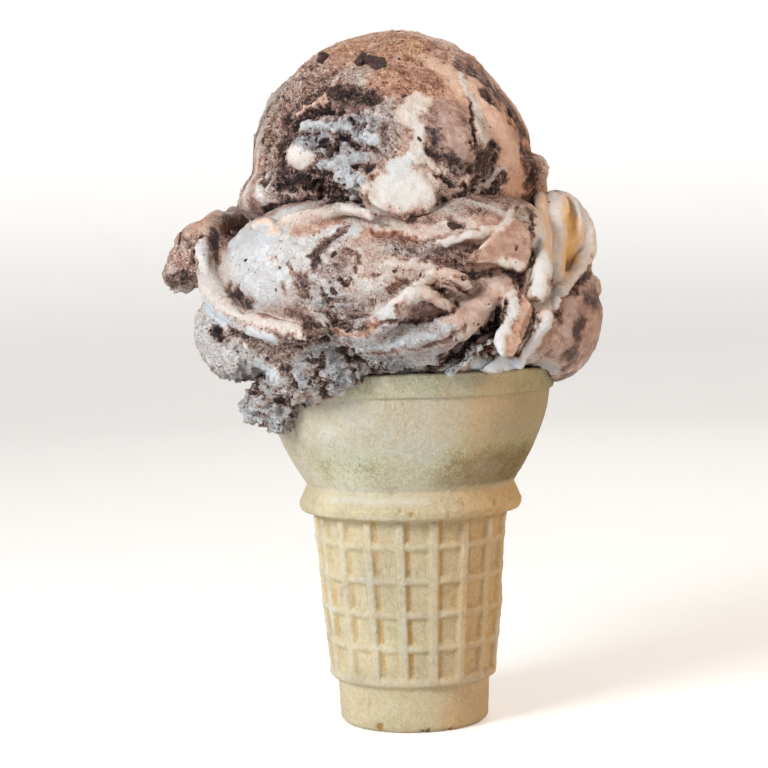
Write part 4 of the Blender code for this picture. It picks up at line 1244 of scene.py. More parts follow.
def wafer_wear(radius, height, angle):
    flat = places_round(radius, height, angle).reshape(-1, 3)
    noises = ((6.0, 11, 2), (1.2, 17, 3, 0.75), (19.0, 23, 1), (11.0, 37, 3))
    worn, fine, swell, wide = (layered_noise(flat, *each).reshape(radius.shape) for each in noises)
    rough = ramp(np.cos(angle - math.radians(ROUGH_SIDE)) + 0.8 * worn, -0.3, 0.9)
    at_collar = bell(height, COLLAR_WIDEST, 2.4)
    pits = 1 - ramp(cell_distance(flat, 2.6, 29).reshape(radius.shape), 0.1, 0.34)
    pitted = pits * ramp(rough * at_collar + 0.3 * worn, 0.45, 0.8)
    nick = np.zeros(radius.shape)
    for direction, level, size in NICKS:
        away = np.hypot(turn_from(angle, direction) * FOOT_RADIUS, height - level) / size
        nick = np.maximum(nick, 1 - ramp(away + 0.5 * fine, 0.4, 1.0))
    return Wear(worn, fine, swell, wide, rough, at_collar, pitted, nick)


def wafer_growth(lift, on_stem, wear):
    """How far the outside stands out from the plain section, in millimetres."""
    on_rings = np.where(on_stem, ramp(lift, 0.3, 0.7) * (1 - ramp(lift, 0.8, 0.95)), 0.0)
    grit = 0.06 + 0.08 * wear.rough + 0.1 * wear.at_collar * wear.rough + 0.14 * on_rings
    grow = RIB_HEIGHT * lift * (1 + 0.18 * wear.worn)
    grow = grow + 0.16 * wear.swell + 0.09 * wear.worn + grit * wear.fine
    return grow - (0.5 * wear.pitted + 0.8 * wear.nick)


def wafer_values(height, angle, lift, flank_shade, on_stem, wear):
    """What the wafer's material needs to know at each point of the cup."""
    # Painted shade at the ribs' feet, most on their right flanks and more at the front; nicks and pits are
    # darkened too.
    front_flank_shade = 0.45 * ramp(np.cos(angle - math.radians(PAINTED_FLANK_SHADE_SIDE)), 0.75, 0.96)
    corner = flank_shade * (np.clip(0.3 + 1.1 * wear.wide, 0, 0.8) + front_flank_shade)
    # Painted highlight: paler colour on the neck and under the collar on the side towards the key light,
    # and on the rib tops; its lower roughness is real gloss.
    facing_light = np.cos(angle - math.radians(PAINTED_HIGHLIGHT_SIDE)) + 0.3 * wear.worn
    to_left = ramp(facing_light, 0.72, 0.95)
    at_neck = bell(height, *NECK_PAINTED_HIGHLIGHT) * to_left
    under_collar = bell(height, *COLLAR_PAINTED_HIGHLIGHT) * to_left * ramp(wear.fine, -0.1, 0.3)
    on_ribs = np.where(on_stem, ramp(lift, 0.5, 0.9), 0.0)
    on_ribs = on_ribs * (0.25 + 0.75 * ramp(wear.wide + 0.5 * wear.worn, 0.15, 0.5))
    on_bowl = ramp(height, NECK_HEIGHT - 1, NECK_HEIGHT + 1.5)
    on_band = ramp(height, BAND_BOTTOM - 0.3, BAND_BOTTOM + 0.1)
    # A darker olive patch low on the bowl, strongest towards the front right: partly mottled tone, partly
    # painted shade.
    low_bowl = on_bowl * (1 - ramp(height, 56.0, 66.0))
    in_front = bell(turn_from(angle, ROUGH_SIDE), 0.0, 0.75)
    olive_mottle_and_shade = low_bowl * np.clip(0.55 + 0.9 * wear.wide + 0.3 * wear.worn + 1.1 * in_front, 0, 1.6)
    right = np.cos(angle)
    return {
        # painted shade on the ribs' flanks, in the nicks and in the pits
        "corner": np.clip(corner + 1.4 * wear.nick + 0.5 * wear.pitted, 0, 2).ravel(),
        # the bowl's and band's own tones, and the olive patch low on the bowl, which is partly painted
        # shade
        "grey": (on_bowl * (0.75 + 0.3 * wear.worn) + 0.75 * on_band + olive_mottle_and_shade).ravel(),
        "rough": wear.rough.ravel(),
        # painted highlight, with real gloss through lower roughness
        "gloss_and_painted_highlight": np.maximum(np.maximum(at_neck, under_collar), on_ribs).ravel(),
        # painted shade: warmer, darker wafer on the right, away from the key light, and darker still on the
        # bowl's right
        "baked": (ramp(right + 0.2 * wear.worn, 0.0, 0.8) + on_bowl * ramp(right, 0.3, 0.95)).ravel(),
    }


def build_wafer_cup(settings):
    outline, first_outside = cup_outline()
    rows = len(outline)
    angles = np.linspace(0, 2 * math.pi, POINTS_ROUND_CUP, endpoint=False)
    radius, angle = np.meshgrid(outline[:, 0], angles, indexing="ij")
    height = np.repeat(outline[:, 1][:, None], POINTS_ROUND_CUP, 1)
    outside = np.zeros(radius.shape, bool)
    outside[first_outside:] = True
    on_stem = outside & (height > STEM_BOTTOM - 0.4) & (height < RIBS_END)
    lift, flank_shade = (np.where(on_stem, share, 0.0) for share in waffle(radius, height, angle))
    wear = wafer_wear(radius, height, angle)
    radius = radius + wafer_growth(lift, on_stem, wear) * (outside & (radius > 1.0))
    turns = np.stack([angle * 8, angle * 0, angle * 0], -1)
    rim_wave = layered_noise(turns.reshape(-1, 3), 1.0, 3, 2).reshape(radius.shape)
    height = np.maximum(height - bell(height, CUP_HEIGHT, 1.6) * (0.12 + 0.2 * rim_wave), 0.0)
    index = np.arange(radius.size).reshape(rows, POINTS_ROUND_CUP)
    right = np.roll(index, -1, 1)
    faces = np.stack([index[:-1], right[:-1], right[1:], index[1:]], -1).reshape(-1, 4)[:, ::-1]
    places = places_round(radius, height, angle).reshape(-1, 3)
    values = wafer_values(height, angle, lift, flank_shade, on_stem, wear)
    piece = quad_object("wafer_cup_skin", places, faces, values)
    piece.data.materials.append(wafer_material(settings))
    return piece


# ---------------- materials

BLUSH_TINT = (0.94, 0.885, 0.875)
FLECK_COLOUR = (0.66, 0.56, 0.52)
# darker olive of the low bowl: partly mottled tone, partly painted shade
OLIVE_MOTTLE_AND_SHADE_COLOUR = (0.62, 0.575, 0.42)
# tint of the painted shade, warmer and darker, on the wafer's right side
RIGHT_SIDE_SHADE_TINT = (1.0, 0.92, 0.82)
# tint of the painted shade, darker still, on the bowl's right
SHADED_TINT = (0.86, 0.88, 0.89)
BLOOM_COLOUR = (0.93, 0.91, 0.85)
GRAIN_TINT = (0.8, 0.74, 0.62)
# colour of the painted highlights on the neck, under the collar and on the rib tops
PAINTED_HIGHLIGHT_COLOUR = (0.91, 0.93, 0.92)
FLECKS_APART = (7.3, 2.9, 5.1)  # a shift that keeps flecks and specks on different places
ALONG_STEM = (3.0, 3.0, 0.16)  # stretches scratches up and down


def new_material(name):
    material = bpy.data.materials.new(name)
    material.use_nodes = True
    return material, material.node_tree, material.node_tree.nodes["Principled BSDF"]


def add_node(tree, kind, inputs=None, **settings):
    """A node with its settings, whose inputs are given by name or number: a value, or
    another node's output to link."""
    node = tree.nodes.new(kind)
    for name, value in settings.items():
        setattr(node, name, value)
    for name, value in (inputs or {}).items():
        if isinstance(value, bpy.types.NodeSocket):
            tree.links.new(value, node.inputs[name])
        else:
            node.inputs[name].default_value = value
    return node


def maths(tree, operation, first, second=None, third=None, clamp=False):
    given = {0: first}
    if second is not None:
        given[1] = second
    if third is not None:
        given[2] = third
    node = add_node(tree, "ShaderNodeMath", given, operation=operation)
    node.use_clamp = clamp
    return node.outputs[0]


def smooth_step(tree, value, low, high, bottom=0.0, top=1.0):
    given = {"Value": value, "From Min": low, "From Max": high, "To Min": bottom, "To Max": top}
    node = add_node(tree, "ShaderNodeMapRange", given, interpolation_type="SMOOTHSTEP")
    return node.outputs["Result"]


def attribute(tree, name, output="Fac"):
    node = add_node(tree, "ShaderNodeAttribute")
    node.attribute_name = name
    return node.outputs[output]


def vectors(tree, operation, inputs):
    return add_node(tree, "ShaderNodeVectorMath", inputs, operation=operation).outputs[0]


def millimetres(tree):
    """Places on the piece, in millimetres."""
    place = add_node(tree, "ShaderNodeTexCoord").outputs["Object"]
    return vectors(tree, "SCALE", {0: place, "Scale": 1000.0})


def noise_node(tree, places, size, detail=3.0, roughness=0.55, distortion=0.0):
    given = {
        "Vector": places,
        "Scale": 1.0 / size,
        "Detail": detail,
        "Roughness": roughness,
        "Distortion": distortion,
    }
    return add_node(tree, "ShaderNodeTexNoise", given).outputs["Fac"]


def blend_colours(tree, share, first, second, kind="MIX"):
    node = add_node(tree, "ShaderNodeMix", data_type="RGBA", blend_type=kind)
    for socket, value in ((0, share), (6, first), (7, second)):
        if isinstance(value, bpy.types.NodeSocket):
            tree.links.new(value, node.inputs[socket])
        else:
            node.inputs[socket].default_value = value
    return node.outputs[2]


def linear(colour):
    """A screen colour as the light that it stands for, with full alpha."""
    made = [c / 12.92 if c <= 0.04045 else ((c + 0.055) / 1.055) ** 2.4 for c in colour[:3]]
    return (*made, 1.0)


def group_with(name, inputs, outputs):
    """A new node group with its sockets: an input is a vector, or a value where it has a
    default, and each output is a value."""
    tree = bpy.data.node_groups.new(name, "ShaderNodeTree")
    for label, default in inputs.items():
        kind = "NodeSocketVector" if default is None else "NodeSocketFloat"
        socket = tree.interface.new_socket(label, in_out="INPUT", socket_type=kind)
        if default is not None:
            socket.default_value = default
    for label in outputs:
        tree.interface.new_socket(label, in_out="OUTPUT", socket_type="NodeSocketFloat")
    entry = tree.nodes.new("NodeGroupInput")
    leave = tree.nodes.new("NodeGroupOutput")
    return tree, entry.outputs, leave.inputs


def bumped(tree, shader, height, strength, depth):
    """Links fine relief, of a depth in millimetres, to the shader."""
    given = {"Height": height, "Strength": strength, "Distance": depth * MM}
    bump = add_node(tree, "ShaderNodeBump", given)
    tree.links.new(bump.outputs["Normal"], shader.inputs["Normal"])


def crumb_specks(tree, places, size, density, largest):
    """A mask of scattered specks about the given size, as many as the density allows."""
    given = {"Vector": places, "Scale": 1.0 / size, "Randomness": 1.0}
    cells = add_node(tree, "ShaderNodeTexVoronoi", given, feature="F1").outputs
    parts = add_node(tree, "ShaderNodeSeparateColor", {0: cells["Color"]}).outputs
    here = smooth_step(tree, maths(tree, "SUBTRACT", density, parts[0]), -0.02, 0.02)
    reach = maths(tree, "MULTIPLY_ADD", parts[1], largest * 0.6, largest * 0.4)
    inside = smooth_step(tree, maths(tree, "SUBTRACT", reach, cells["Distance"]), -0.06, 0.06)
    return maths(tree, "MULTIPLY", here, inside)


def cookie_streaks_group():
    """Streaks of cocoa along the grain, and specks of ground cookie at three sizes."""
    found = bpy.data.node_groups.get("cookie streaks")
    if found:
        return found
    tree, given, made = group_with(
        "cookie streaks",
        {"Grain": None, "Places": None, "Cocoa": 0.4, "Crumbs": 0.4, "Torn": 0.3},
        ("Stain", "Specks", "Flecks", "Blush", "Relief"),
    )
    places, cocoa, crumbs, torn = (given[label] for label in ("Places", "Cocoa", "Crumbs", "Torn"))
    threads = noise_node(tree, given["Grain"], 0.6, 5.0, 0.78, 0.4)
    dust = noise_node(tree, places, 0.5, 4.0, 0.8)
    flour = noise_node(tree, places, 0.24, 2.0, 0.6)
    stain = maths(tree, "MULTIPLY_ADD", threads, 0.6, -0.3)
    stain = maths(tree, "ADD", stain, smooth_step(tree, dust, 0.34, 0.66, -0.14, 0.14))
    stain = maths(tree, "ADD", stain, maths(tree, "MULTIPLY_ADD", flour, 0.6, -0.3))
    clean = smooth_step(tree, cocoa, 0.0, 0.4, 0.15, 1.0)
    clean = maths(tree, "MULTIPLY", clean, smooth_step(tree, crumbs, 0.0, 0.5, 0.15, 1.0))
    gritty = smooth_step(tree, torn, 0.1, 0.9, 0.8, 2.1)
    stain = maths(tree, "MULTIPLY", stain, maths(tree, "MULTIPLY", clean, gritty))
    tree.links.new(maths(tree, "ADD", stain, cocoa, clamp=True), made["Stain"])
    wander = add_node(tree, "ShaderNodeTexNoise", {"Vector": places, "Scale": 1.1, "Detail": 2.0})
    shift = vectors(tree, "SCALE", {0: wander.outputs["Color"], "Scale": 0.9})
    shaken = vectors(tree, "ADD", {0: places, 1: shift})
    clusters = smooth_step(tree, noise_node(tree, places, 3.4, 2.0), 0.38, 0.66, 0.1, 1.4)
    loose = maths(tree, "MULTIPLY", crumbs, clusters)
    dusty = maths(tree, "MULTIPLY", loose, smooth_step(tree, cocoa, 0.0, 0.5, 0.4, 1.3))
    powder = crumb_specks(tree, shaken, 0.5, maths(tree, "MULTIPLY", dusty, 0.6), 0.42)
    small = crumb_specks(tree, shaken, 0.9, maths(tree, "MULTIPLY", loose, 0.2), 0.42)
    large = crumb_specks(tree, shaken, 1.7, maths(tree, "MULTIPLY_ADD", loose, 0.16, -0.06), 0.4)
    specks = maths(tree, "MAXIMUM", powder, maths(tree, "MAXIMUM", small, large))
    specks = maths(tree, "MULTIPLY", specks, smooth_step(tree, flour, 0.3, 0.6, 0.55, 1.0))
    tree.links.new(specks, made["Specks"])
    shifted = vectors(tree, "ADD", {0: shaken, 1: FLECKS_APART})
    many = smooth_step(tree, cocoa, 0.45, 0.9, 0.0, 0.42)
    tree.links.new(crumb_specks(tree, shifted, 0.62, many, 0.42), made["Flecks"])
    pores = noise_node(tree, places, 0.3, 3.0, 0.65)
    creases = noise_node(tree, places, 1.5, 4.0, 0.6, 0.8)
    creases = maths(tree, "ABSOLUTE", maths(tree, "SUBTRACT", creases, 0.5))
    creases = smooth_step(tree, creases, 0.0, 0.1, 0.0, 0.8)
    blush = noise_node(tree, places, 1.7, 5.0, 0.75, 0.5)
    blush = maths(tree, "MULTIPLY_ADD", creases, -0.12, blush)
    tree.links.new(smooth_step(tree, blush, 0.36, 0.66), made["Blush"])
    relief = maths(tree, "ADD", maths(tree, "MULTIPLY", pores, 0.5), maths(tree, "MULTIPLY", dust, 0.7))
    creased = smooth_step(tree, crumbs, 0.0, 0.6, 0.15, 1.0)
    relief = maths(tree, "MULTIPLY_ADD", creases, creased, relief)
    relief = maths(tree, "MULTIPLY_ADD", threads, 0.4, relief)
    relief = maths(tree, "MULTIPLY_ADD", specks, 0.3, relief)
    relief = maths(tree, "MULTIPLY", relief, smooth_step(tree, torn, 0.2, 0.9, 1.0, 1.9))
    tree.links.new(relief, made["Relief"])
    return tree


STAIN_COLOURS = (
    (0.0, (1.0, 1.0, 1.0)),
    (0.18, (0.97, 0.94, 0.92)),
    (0.34, (0.92, 0.815, 0.77)),
    (0.5, (0.78, 0.635, 0.58)),
    (0.66, (0.55, 0.43, 0.395)),
    (0.82, (0.35, 0.27, 0.26)),
    (1.0, (0.21, 0.16, 0.163)),
)


def ice_cream_material(name, settings):
    material, tree, shader = new_material(name)
    places = millimetres(tree)
    crumbs = attribute(tree, "crumbs")
    given = {"Grain": attribute(tree, "grain", "Vector"), "Places": places, "Crumbs": crumbs}
    given["Cocoa"] = attribute(tree, "cocoa")
    given["Torn"] = attribute(tree, "torn")
    group = add_node(tree, "ShaderNodeGroup", node_tree=cookie_streaks_group())
    for label, value in given.items():
        tree.links.new(value, group.inputs[label])
    marks = group.outputs
    drift = maths(tree, "MULTIPLY_ADD", noise_node(tree, places, 5.0, 3.0), 0.8, -0.4)
    # Warmth holds the cream's own tones, and also painted shade tints in creases and on the cool wall under
    # the wave, and a painted glow at the sheets' edges.
    warmth = maths(tree, "ADD", attribute(tree, "warmth"), drift)
    cream = linear(settings.cool_cream)
    for low, high, colour in (
        (-1.0, 0.4, settings.cream),
        (0.3, 1.2, settings.warm_cream),
        (1.2, 2.0, settings.butter),
    ):
        cream = blend_colours(tree, smooth_step(tree, warmth, low, high), cream, linear(colour))
    tints = add_node(tree, "ShaderNodeValToRGB", {0: marks["Stain"]})
    stops = tints.color_ramp.elements
    for index, (position, colour) in enumerate(STAIN_COLOURS):
        stop = stops[index] if index < 2 else stops.new(position)
        stop.position = position
        stop.color = linear(colour)
    blush = maths(tree, "MULTIPLY", marks["Blush"], smooth_step(tree, crumbs, 0.0, 0.5, 0.3, 1.0))
    cream = blend_colours(tree, blush, cream, linear(BLUSH_TINT), "MULTIPLY")
    body = blend_colours(tree, 1.0, cream, tints.outputs["Color"], "MULTIPLY")
    body = blend_colours(tree, maths(tree, "MULTIPLY", marks["Flecks"], 0.7), body, linear(FLECK_COLOUR))
    colour = blend_colours(tree, marks["Specks"], body, linear(settings.crumb_colour))
    tree.links.new(colour, shader.inputs["Base Color"])
    rough = maths(tree, "MULTIPLY_ADD", marks["Blush"], 0.25, 0.3)
    rough = maths(tree, "MULTIPLY_ADD", marks["Specks"], 0.15, rough, clamp=True)
    tree.links.new(rough, shader.inputs["Roughness"])
    shader.inputs["Specular IOR Level"].default_value = 0.4
    bumped(tree, shader, marks["Relief"], 0.95, 0.4)
    return material


def wafer_toast_and_shade_group():
    """Toast, with painted shade on the ribs' flanks and in nicks and pits, flour bloom, grain and scratches
    of baked wafer.
    """
    found = bpy.data.node_groups.get("baked wafer")
    if found:
        return found
    tree, given, made = group_with(
        "baked wafer",
        {"Places": None, "Painted shade in corners": 0.0, "Rough": 0.0},
        ("Toast and painted shade", "Bloom", "Grain", "Relief"),
    )
    places = given["Places"]
    broad = noise_node(tree, places, 16.0, 3.0, 0.6)
    mottle = noise_node(tree, places, 2.6, 5.0, 0.7)
    grain = noise_node(tree, places, 0.5, 4.0, 0.85)
    coarse = noise_node(tree, places, 1.3, 3.0, 0.7)
    toast_and_shade = maths(tree, "MULTIPLY_ADD", mottle, 0.8, maths(tree, "MULTIPLY", broad, 0.6))
    toast_and_shade = smooth_step(tree, toast_and_shade, 0.45, 1.15, 0.0, 0.8)
    # the corners add painted shade to the random toast
    toast_and_shade = maths(tree, "MULTIPLY_ADD", given["Painted shade in corners"], 1.1, toast_and_shade, clamp=True)
    bloom = maths(tree, "ADD", broad, maths(tree, "MULTIPLY", mottle, 0.6))
    shown = maths(tree, "MULTIPLY_ADD", coarse, 0.35, maths(tree, "MULTIPLY", grain, 0.9))
    stretched = vectors(tree, "MULTIPLY", {0: places, 1: ALONG_STEM})
    hairs = noise_node(tree, stretched, 1.3, 2.0, 0.5, 0.6)
    hairs = maths(tree, "ABSOLUTE", maths(tree, "SUBTRACT", hairs, 0.5))
    hairs = smooth_step(tree, hairs, 0.0, 0.035, 1.0, 0.0)
    hairs = maths(tree, "MULTIPLY", hairs, smooth_step(tree, broad, 0.5, 0.62))
    relief = maths(tree, "MULTIPLY_ADD", grain, 1.3, maths(tree, "MULTIPLY", coarse, 0.9))
    relief = maths(tree, "MULTIPLY", relief, smooth_step(tree, given["Rough"], 0.0, 1.0, 0.9, 1.6))
    tree.links.new(toast_and_shade, made["Toast and painted shade"])
    tree.links.new(smooth_step(tree, bloom, 0.74, 1.0), made["Bloom"])
    tree.links.new(smooth_step(tree, shown, 0.45, 0.85), made["Grain"])
    tree.links.new(maths(tree, "MULTIPLY_ADD", hairs, -0.5, relief), made["Relief"])
    return tree


def wafer_material(settings):
    material, tree, shader = new_material("baked_wafer")
    group = add_node(tree, "ShaderNodeGroup", node_tree=wafer_toast_and_shade_group())
    tree.links.new(millimetres(tree), group.inputs["Places"])
    tree.links.new(attribute(tree, "corner"), group.inputs["Painted shade in corners"])
    tree.links.new(attribute(tree, "rough"), group.inputs["Rough"])
    marks = group.outputs
    grey = attribute(tree, "grey")
    baked = attribute(tree, "baked")
    gloss_and_painted_highlight = attribute(tree, "gloss_and_painted_highlight")
    low = maths(tree, "MULTIPLY_ADD", marks["Grain"], 0.7, grey)
    base = linear(settings.wafer_colour)
    for share, colour, kind in (
        (smooth_step(tree, grey, 0.0, 1.0), settings.bowl_colour, "MIX"),
        (smooth_step(tree, grey, 0.9, 1.8), settings.band_colour, "MIX"),
        # olive patch: partly mottled tone, partly painted shade
        (smooth_step(tree, low, 1.7, 2.9), OLIVE_MOTTLE_AND_SHADE_COLOUR, "MIX"),
        # painted shade on the right side, and darker on the bowl's right
        (smooth_step(tree, baked, 0.0, 1.0), RIGHT_SIDE_SHADE_TINT, "MULTIPLY"),
        (smooth_step(tree, baked, 1.0, 2.0), SHADED_TINT, "MULTIPLY"),
        # random toast, and painted shade on the ribs' flanks and in nicks and pits
        (marks["Toast and painted shade"], settings.toast_and_shade_colour, "MULTIPLY"),
        (maths(tree, "MULTIPLY", marks["Bloom"], 0.3), BLOOM_COLOUR, "MIX"),
        (smooth_step(tree, marks["Grain"], 0.0, 1.0, 0.0, 0.42), GRAIN_TINT, "MULTIPLY"),
        # painted highlight
        (maths(tree, "MULTIPLY", gloss_and_painted_highlight, 0.4), PAINTED_HIGHLIGHT_COLOUR, "MIX"),
    ):
        base = blend_colours(tree, share, base, linear(colour), kind)
    tree.links.new(base, shader.inputs["Base Color"])
    shader.inputs["Specular IOR Level"].default_value = 0.35
    rough = smooth_step(tree, attribute(tree, "rough"), 0.0, 1.0, 0.5, 0.85)
    rough = maths(tree, "MULTIPLY_ADD", gloss_and_painted_highlight, -0.25, rough, clamp=True)
    tree.links.new(rough, shader.inputs["Roughness"])
    bumped(tree, shader, marks["Relief"], 0.9, 0.3)
    return material


# ---------------- pieces

CUTS = 12
LEAST_CRUMB = 0.28
CRUMB_SPREAD = 0.55
SUNK_SHARE = 0.25
SHARP_EDGE = math.radians(35)


def cut_round_cup(field):
    """Leaves room in the field for the cup's wall, and keeps what stays inside it."""

    def wall(places):
        radius = np.hypot(places[..., 0], places[..., 1])
        height = places[..., 2]
        outer = radius - outer_radius(height) - 0.25
        inner = inner_radius(height) - 0.2 - radius
        top = height - CUP_HEIGHT + 0.15
        return np.maximum(np.maximum(outer, inner), top).astype(np.float32)

    block = field.block((-34, -34, 60), (34, 34, CUP_HEIGHT + 1), 1.0)
    field.keep_outside(wall, block)


UPPER_SCOOP = Scoop(
    "upper",
    UPPER_FORMS,
    UPPER_HOLLOWS,
    UPPER_PATCHES,
    UPPER_STROKES,
    swirl_grain,
    ((-42, -40, 98), (38, 40, 150)),
    seed=5,
)
LOWER_SCOOP = Scoop(
    "lower",
    LOWER_FORMS,
    LOWER_HOLLOWS,
    LOWER_PATCHES,
    LOWER_STROKES,
    girdle_grain,
    ((-56, -50, 60), (48, 50, 120)),
    seed=8,
    fit=cut_round_cup,
)


def build_scoop(scoop, settings):
    piece = scoop.skin(settings.detail)
    piece.data.materials.append(ice_cream_material(f"{scoop.name}_ice_cream", settings))
    return piece


def broken_ball(rounds):
    """The corners and faces of a small ball, from which broken pieces are cut."""
    form = bmesh.new()
    bmesh.ops.create_icosphere(form, subdivisions=rounds, radius=1.0)
    corners = np.array([vertex.co[:] for vertex in form.verts])
    faces = np.array([[vertex.index for vertex in face.verts] for face in form.faces])
    form.free()
    return corners, faces


def broken_piece(ball, half, source):
    """A ball cut flat by random planes and squashed to the given half-widths."""
    cuts = source.normal(size=(CUTS, 3))
    cuts /= np.linalg.norm(cuts, axis=1, keepdims=True)
    depths = source.uniform(0.55, 0.9, CUTS)
    facing = ball @ cuts.T
    reach = np.where(facing > 0.05, depths / np.maximum(facing, 0.05), 1.0).min(1)
    rough = 1 + 0.05 * source.normal(size=len(ball))
    return ball * np.minimum(reach, 1.0)[:, None] * rough[:, None] * np.array(half)


def facing_frame(normal, spin):
    """Three directions at right angles, the third along the normal."""
    start = np.array([0.0, 0.0, 1.0]) if abs(normal[2]) < 0.9 else np.array([1.0, 0.0, 0.0])
    first = np.cross(start, normal)
    first /= np.linalg.norm(first)
    second = np.cross(normal, first)
    turn = math.cos(spin) * first + math.sin(spin) * second
    return np.stack([turn, np.cross(normal, turn), normal])


def surface_of(piece):
    """A mesh piece's points in millimetres, its normals, and its crumbs attribute."""
    mesh = piece.data
    points = np.empty(len(mesh.vertices) * 3, np.float32)
    mesh.vertices.foreach_get("co", points)
    normals = np.empty(len(mesh.vertices) * 3, np.float32)
    mesh.vertex_normals.foreach_get("vector", normals)
    crumbs = np.empty(len(mesh.vertices), np.float32)
    mesh.attributes["crumbs"].data.foreach_get("value", crumbs)
    return points.reshape(-1, 3) / MM, normals.reshape(-1, 3), crumbs


def cookie_pieces(name, skin, chunks, count, seed, settings):
    """Chosen chunks and scattered crumbs of cookie, pressed into the skin."""
    source = np.random.default_rng(seed)
    points, normals, crumbs = surface_of(skin)
    weight = np.clip(crumbs - 0.25, 0, 1) ** 2
    chosen = source.choice(len(points), count, replace=False, p=weight / weight.sum())
    places = [(points[index], normals[index], None, None) for index in chosen]
    for centre, half, *turn in chunks:
        nearest = int(((points - np.array(centre)) ** 2).sum(1).argmin())
        places.append((points[nearest], normals[nearest], half, math.radians(turn[0]) if turn else None))
    coarse, fine = broken_ball(1), broken_ball(3)
    all_points, all_faces, total = [], [], 0
    for place, normal, half, turn in places:
        corners, faces = fine if half else coarse
        if half is None:
            size = LEAST_CRUMB + CRUMB_SPREAD * source.random() ** 3
            half = size * source.uniform(0.7, 1.3, 3)
        spin = source.uniform(0, 6.3)
        made = broken_piece(corners, half, source) @ facing_frame(normal, spin if turn is None else turn)
        all_points.append(made + place - SUNK_SHARE * normal * half[2])
        all_faces.append(faces + total)
        total += len(corners)
    piece = quad_object(name, np.concatenate(all_points), np.concatenate(all_faces))
    piece.data.set_sharp_from_angle(angle=SHARP_EDGE)
    piece.data.materials.append(cookie_material(settings))
    return piece


UPPER_CHUNKS = (
    ((-8.0, -18.4, 140.1), (2.7, 1.5, 1.7), -14),
    ((-4.9, -20.0, 138.6), (3.3, 2.3, 2.5), -24),
    ((-15.8, -13.7, 140.7), (2.2, 1.7, 1.8), 30),
    ((-18.6, -14.0, 138.2), (1.1, 0.9, 1.0)),
    ((0.4, -25.5, 131.0), (0.8, 0.6, 0.6)),
    ((18.5, -17.5, 124.0), (1.0, 0.6, 0.5)),
    ((3.4, -28.4, 122.5), (0.8, 0.5, 0.5)),
    ((22.8, -10.6, 129.5), (1.6, 1.0, 0.7)),
    ((-24.5, -17.0, 113.5), (1.7, 1.0, 0.8)),
    ((-14.6, -25.9, 120.6), (1.6, 1.0, 0.7)),
    ((12.0, 24.0, 128.0), (2.0, 1.4, 1.0)),
    ((-16.0, 20.0, 131.0), (1.5, 1.2, 0.9)),
    ((24.0, 14.0, 118.0), (1.8, 1.2, 0.9)),
)

LOWER_CHUNKS = (
    ((9.9, -33.6, 105.8), (1.5, 1.1, 0.9)),
    ((-17.2, -35.0, 98.0), (1.3, 1.0, 0.8)),
    ((-14.2, -36.0, 100.2), (0.9, 0.7, 0.6)),
    ((7.0, -37.5, 97.2), (1.0, 0.8, 0.7)),
    ((2.0, -38.5, 95.8), (0.8, 0.6, 0.5)),
    ((-2.4, -38.0, 96.4), (0.5, 0.5, 0.4)),
    ((-14.2, -38.2, 93.2), (1.1, 0.8, 0.6)),
    ((-18.6, -41.5, 86.4), (1.5, 1.1, 0.9)),
    ((-45.6, -6.0, 103.6), (1.8, 1.2, 0.9)),
    ((20.8, -33.0, 99.6), (0.5, 0.9, 0.4)),
    ((-33.0, -28.0, 99.8), (0.7, 0.5, 0.4)),
    ((10.0, -37.0, 80.2), (2.2, 1.2, 0.9)),
    ((14.2, -37.0, 83.4), (1.8, 1.0, 0.8)),
    ((20.0, 34.0, 96.0), (2.0, 1.4, 1.0)),
    ((-24.0, 34.0, 98.0), (1.6, 1.2, 0.9)),
    ((38.0, 14.0, 90.0), (1.8, 1.2, 0.9)),
    ((-4.0, 40.0, 84.0), (2.2, 1.4, 1.0)),
)


def cookie_material(settings):
    material = bpy.data.materials.get("chocolate_cookie")
    if material:
        return material
    material, tree, shader = new_material("chocolate_cookie")
    places = millimetres(tree)
    mottle = noise_node(tree, places, 0.5, 4.0, 0.7)
    dark = tuple(0.55 * c for c in settings.cookie_colour)
    light = tuple(min(1.0, 1.75 * c) for c in settings.cookie_colour)
    share = smooth_step(tree, mottle, 0.35, 0.7)
    tree.links.new(blend_colours(tree, share, linear(dark), linear(light)), shader.inputs["Base Color"])
    tree.links.new(smooth_step(tree, mottle, 0.3, 0.7, 0.45, 0.75), shader.inputs["Roughness"])
    bumped(tree, shader, mottle, 0.7, 0.25)
    return material


# ---------------- add-on


class WaferSettings(bpy.types.PropertyGroup):
    """Colours of the wafer cup."""

    wafer_colour: FloatVectorProperty(
        name="Wafer",
        description="Colour of the pale wafer",
        subtype="COLOR", default=(0.87, 0.835, 0.72), min=0, max=1,
    )
    bowl_colour: FloatVectorProperty(
        name="Bowl",
        description="Greyer colour of the bowl and its band",
        subtype="COLOR", default=(0.85, 0.85, 0.8), min=0, max=1,
    )
    band_colour: FloatVectorProperty(
        name="Band",
        description="Grey-green colour of the band",
        subtype="COLOR", default=(0.84, 0.86, 0.77), min=0, max=1,
    )
    # The toast tint also colours the painted shade on the ribs' flanks and in nicks and pits.
    toast_and_shade_colour: FloatVectorProperty(
        name="Toast and painted shade",
        description="Tint of deeper baked wafer",
        subtype="COLOR", default=(0.95, 0.83, 0.62), min=0, max=1,
    )


class CookieSettings(bpy.types.PropertyGroup):
    """Colour and number of the cookie pieces."""

    cookie_colour: FloatVectorProperty(
        name="Cookie",
        description="Colour of the chocolate cookie",
        subtype="COLOR", default=(0.2, 0.13, 0.12), min=0, max=1,
    )
    crumbs: IntProperty(
        name="Crumbs",
        description="Number of loose crumbs on each scoop",
        default=90, min=0, max=2000,
    )


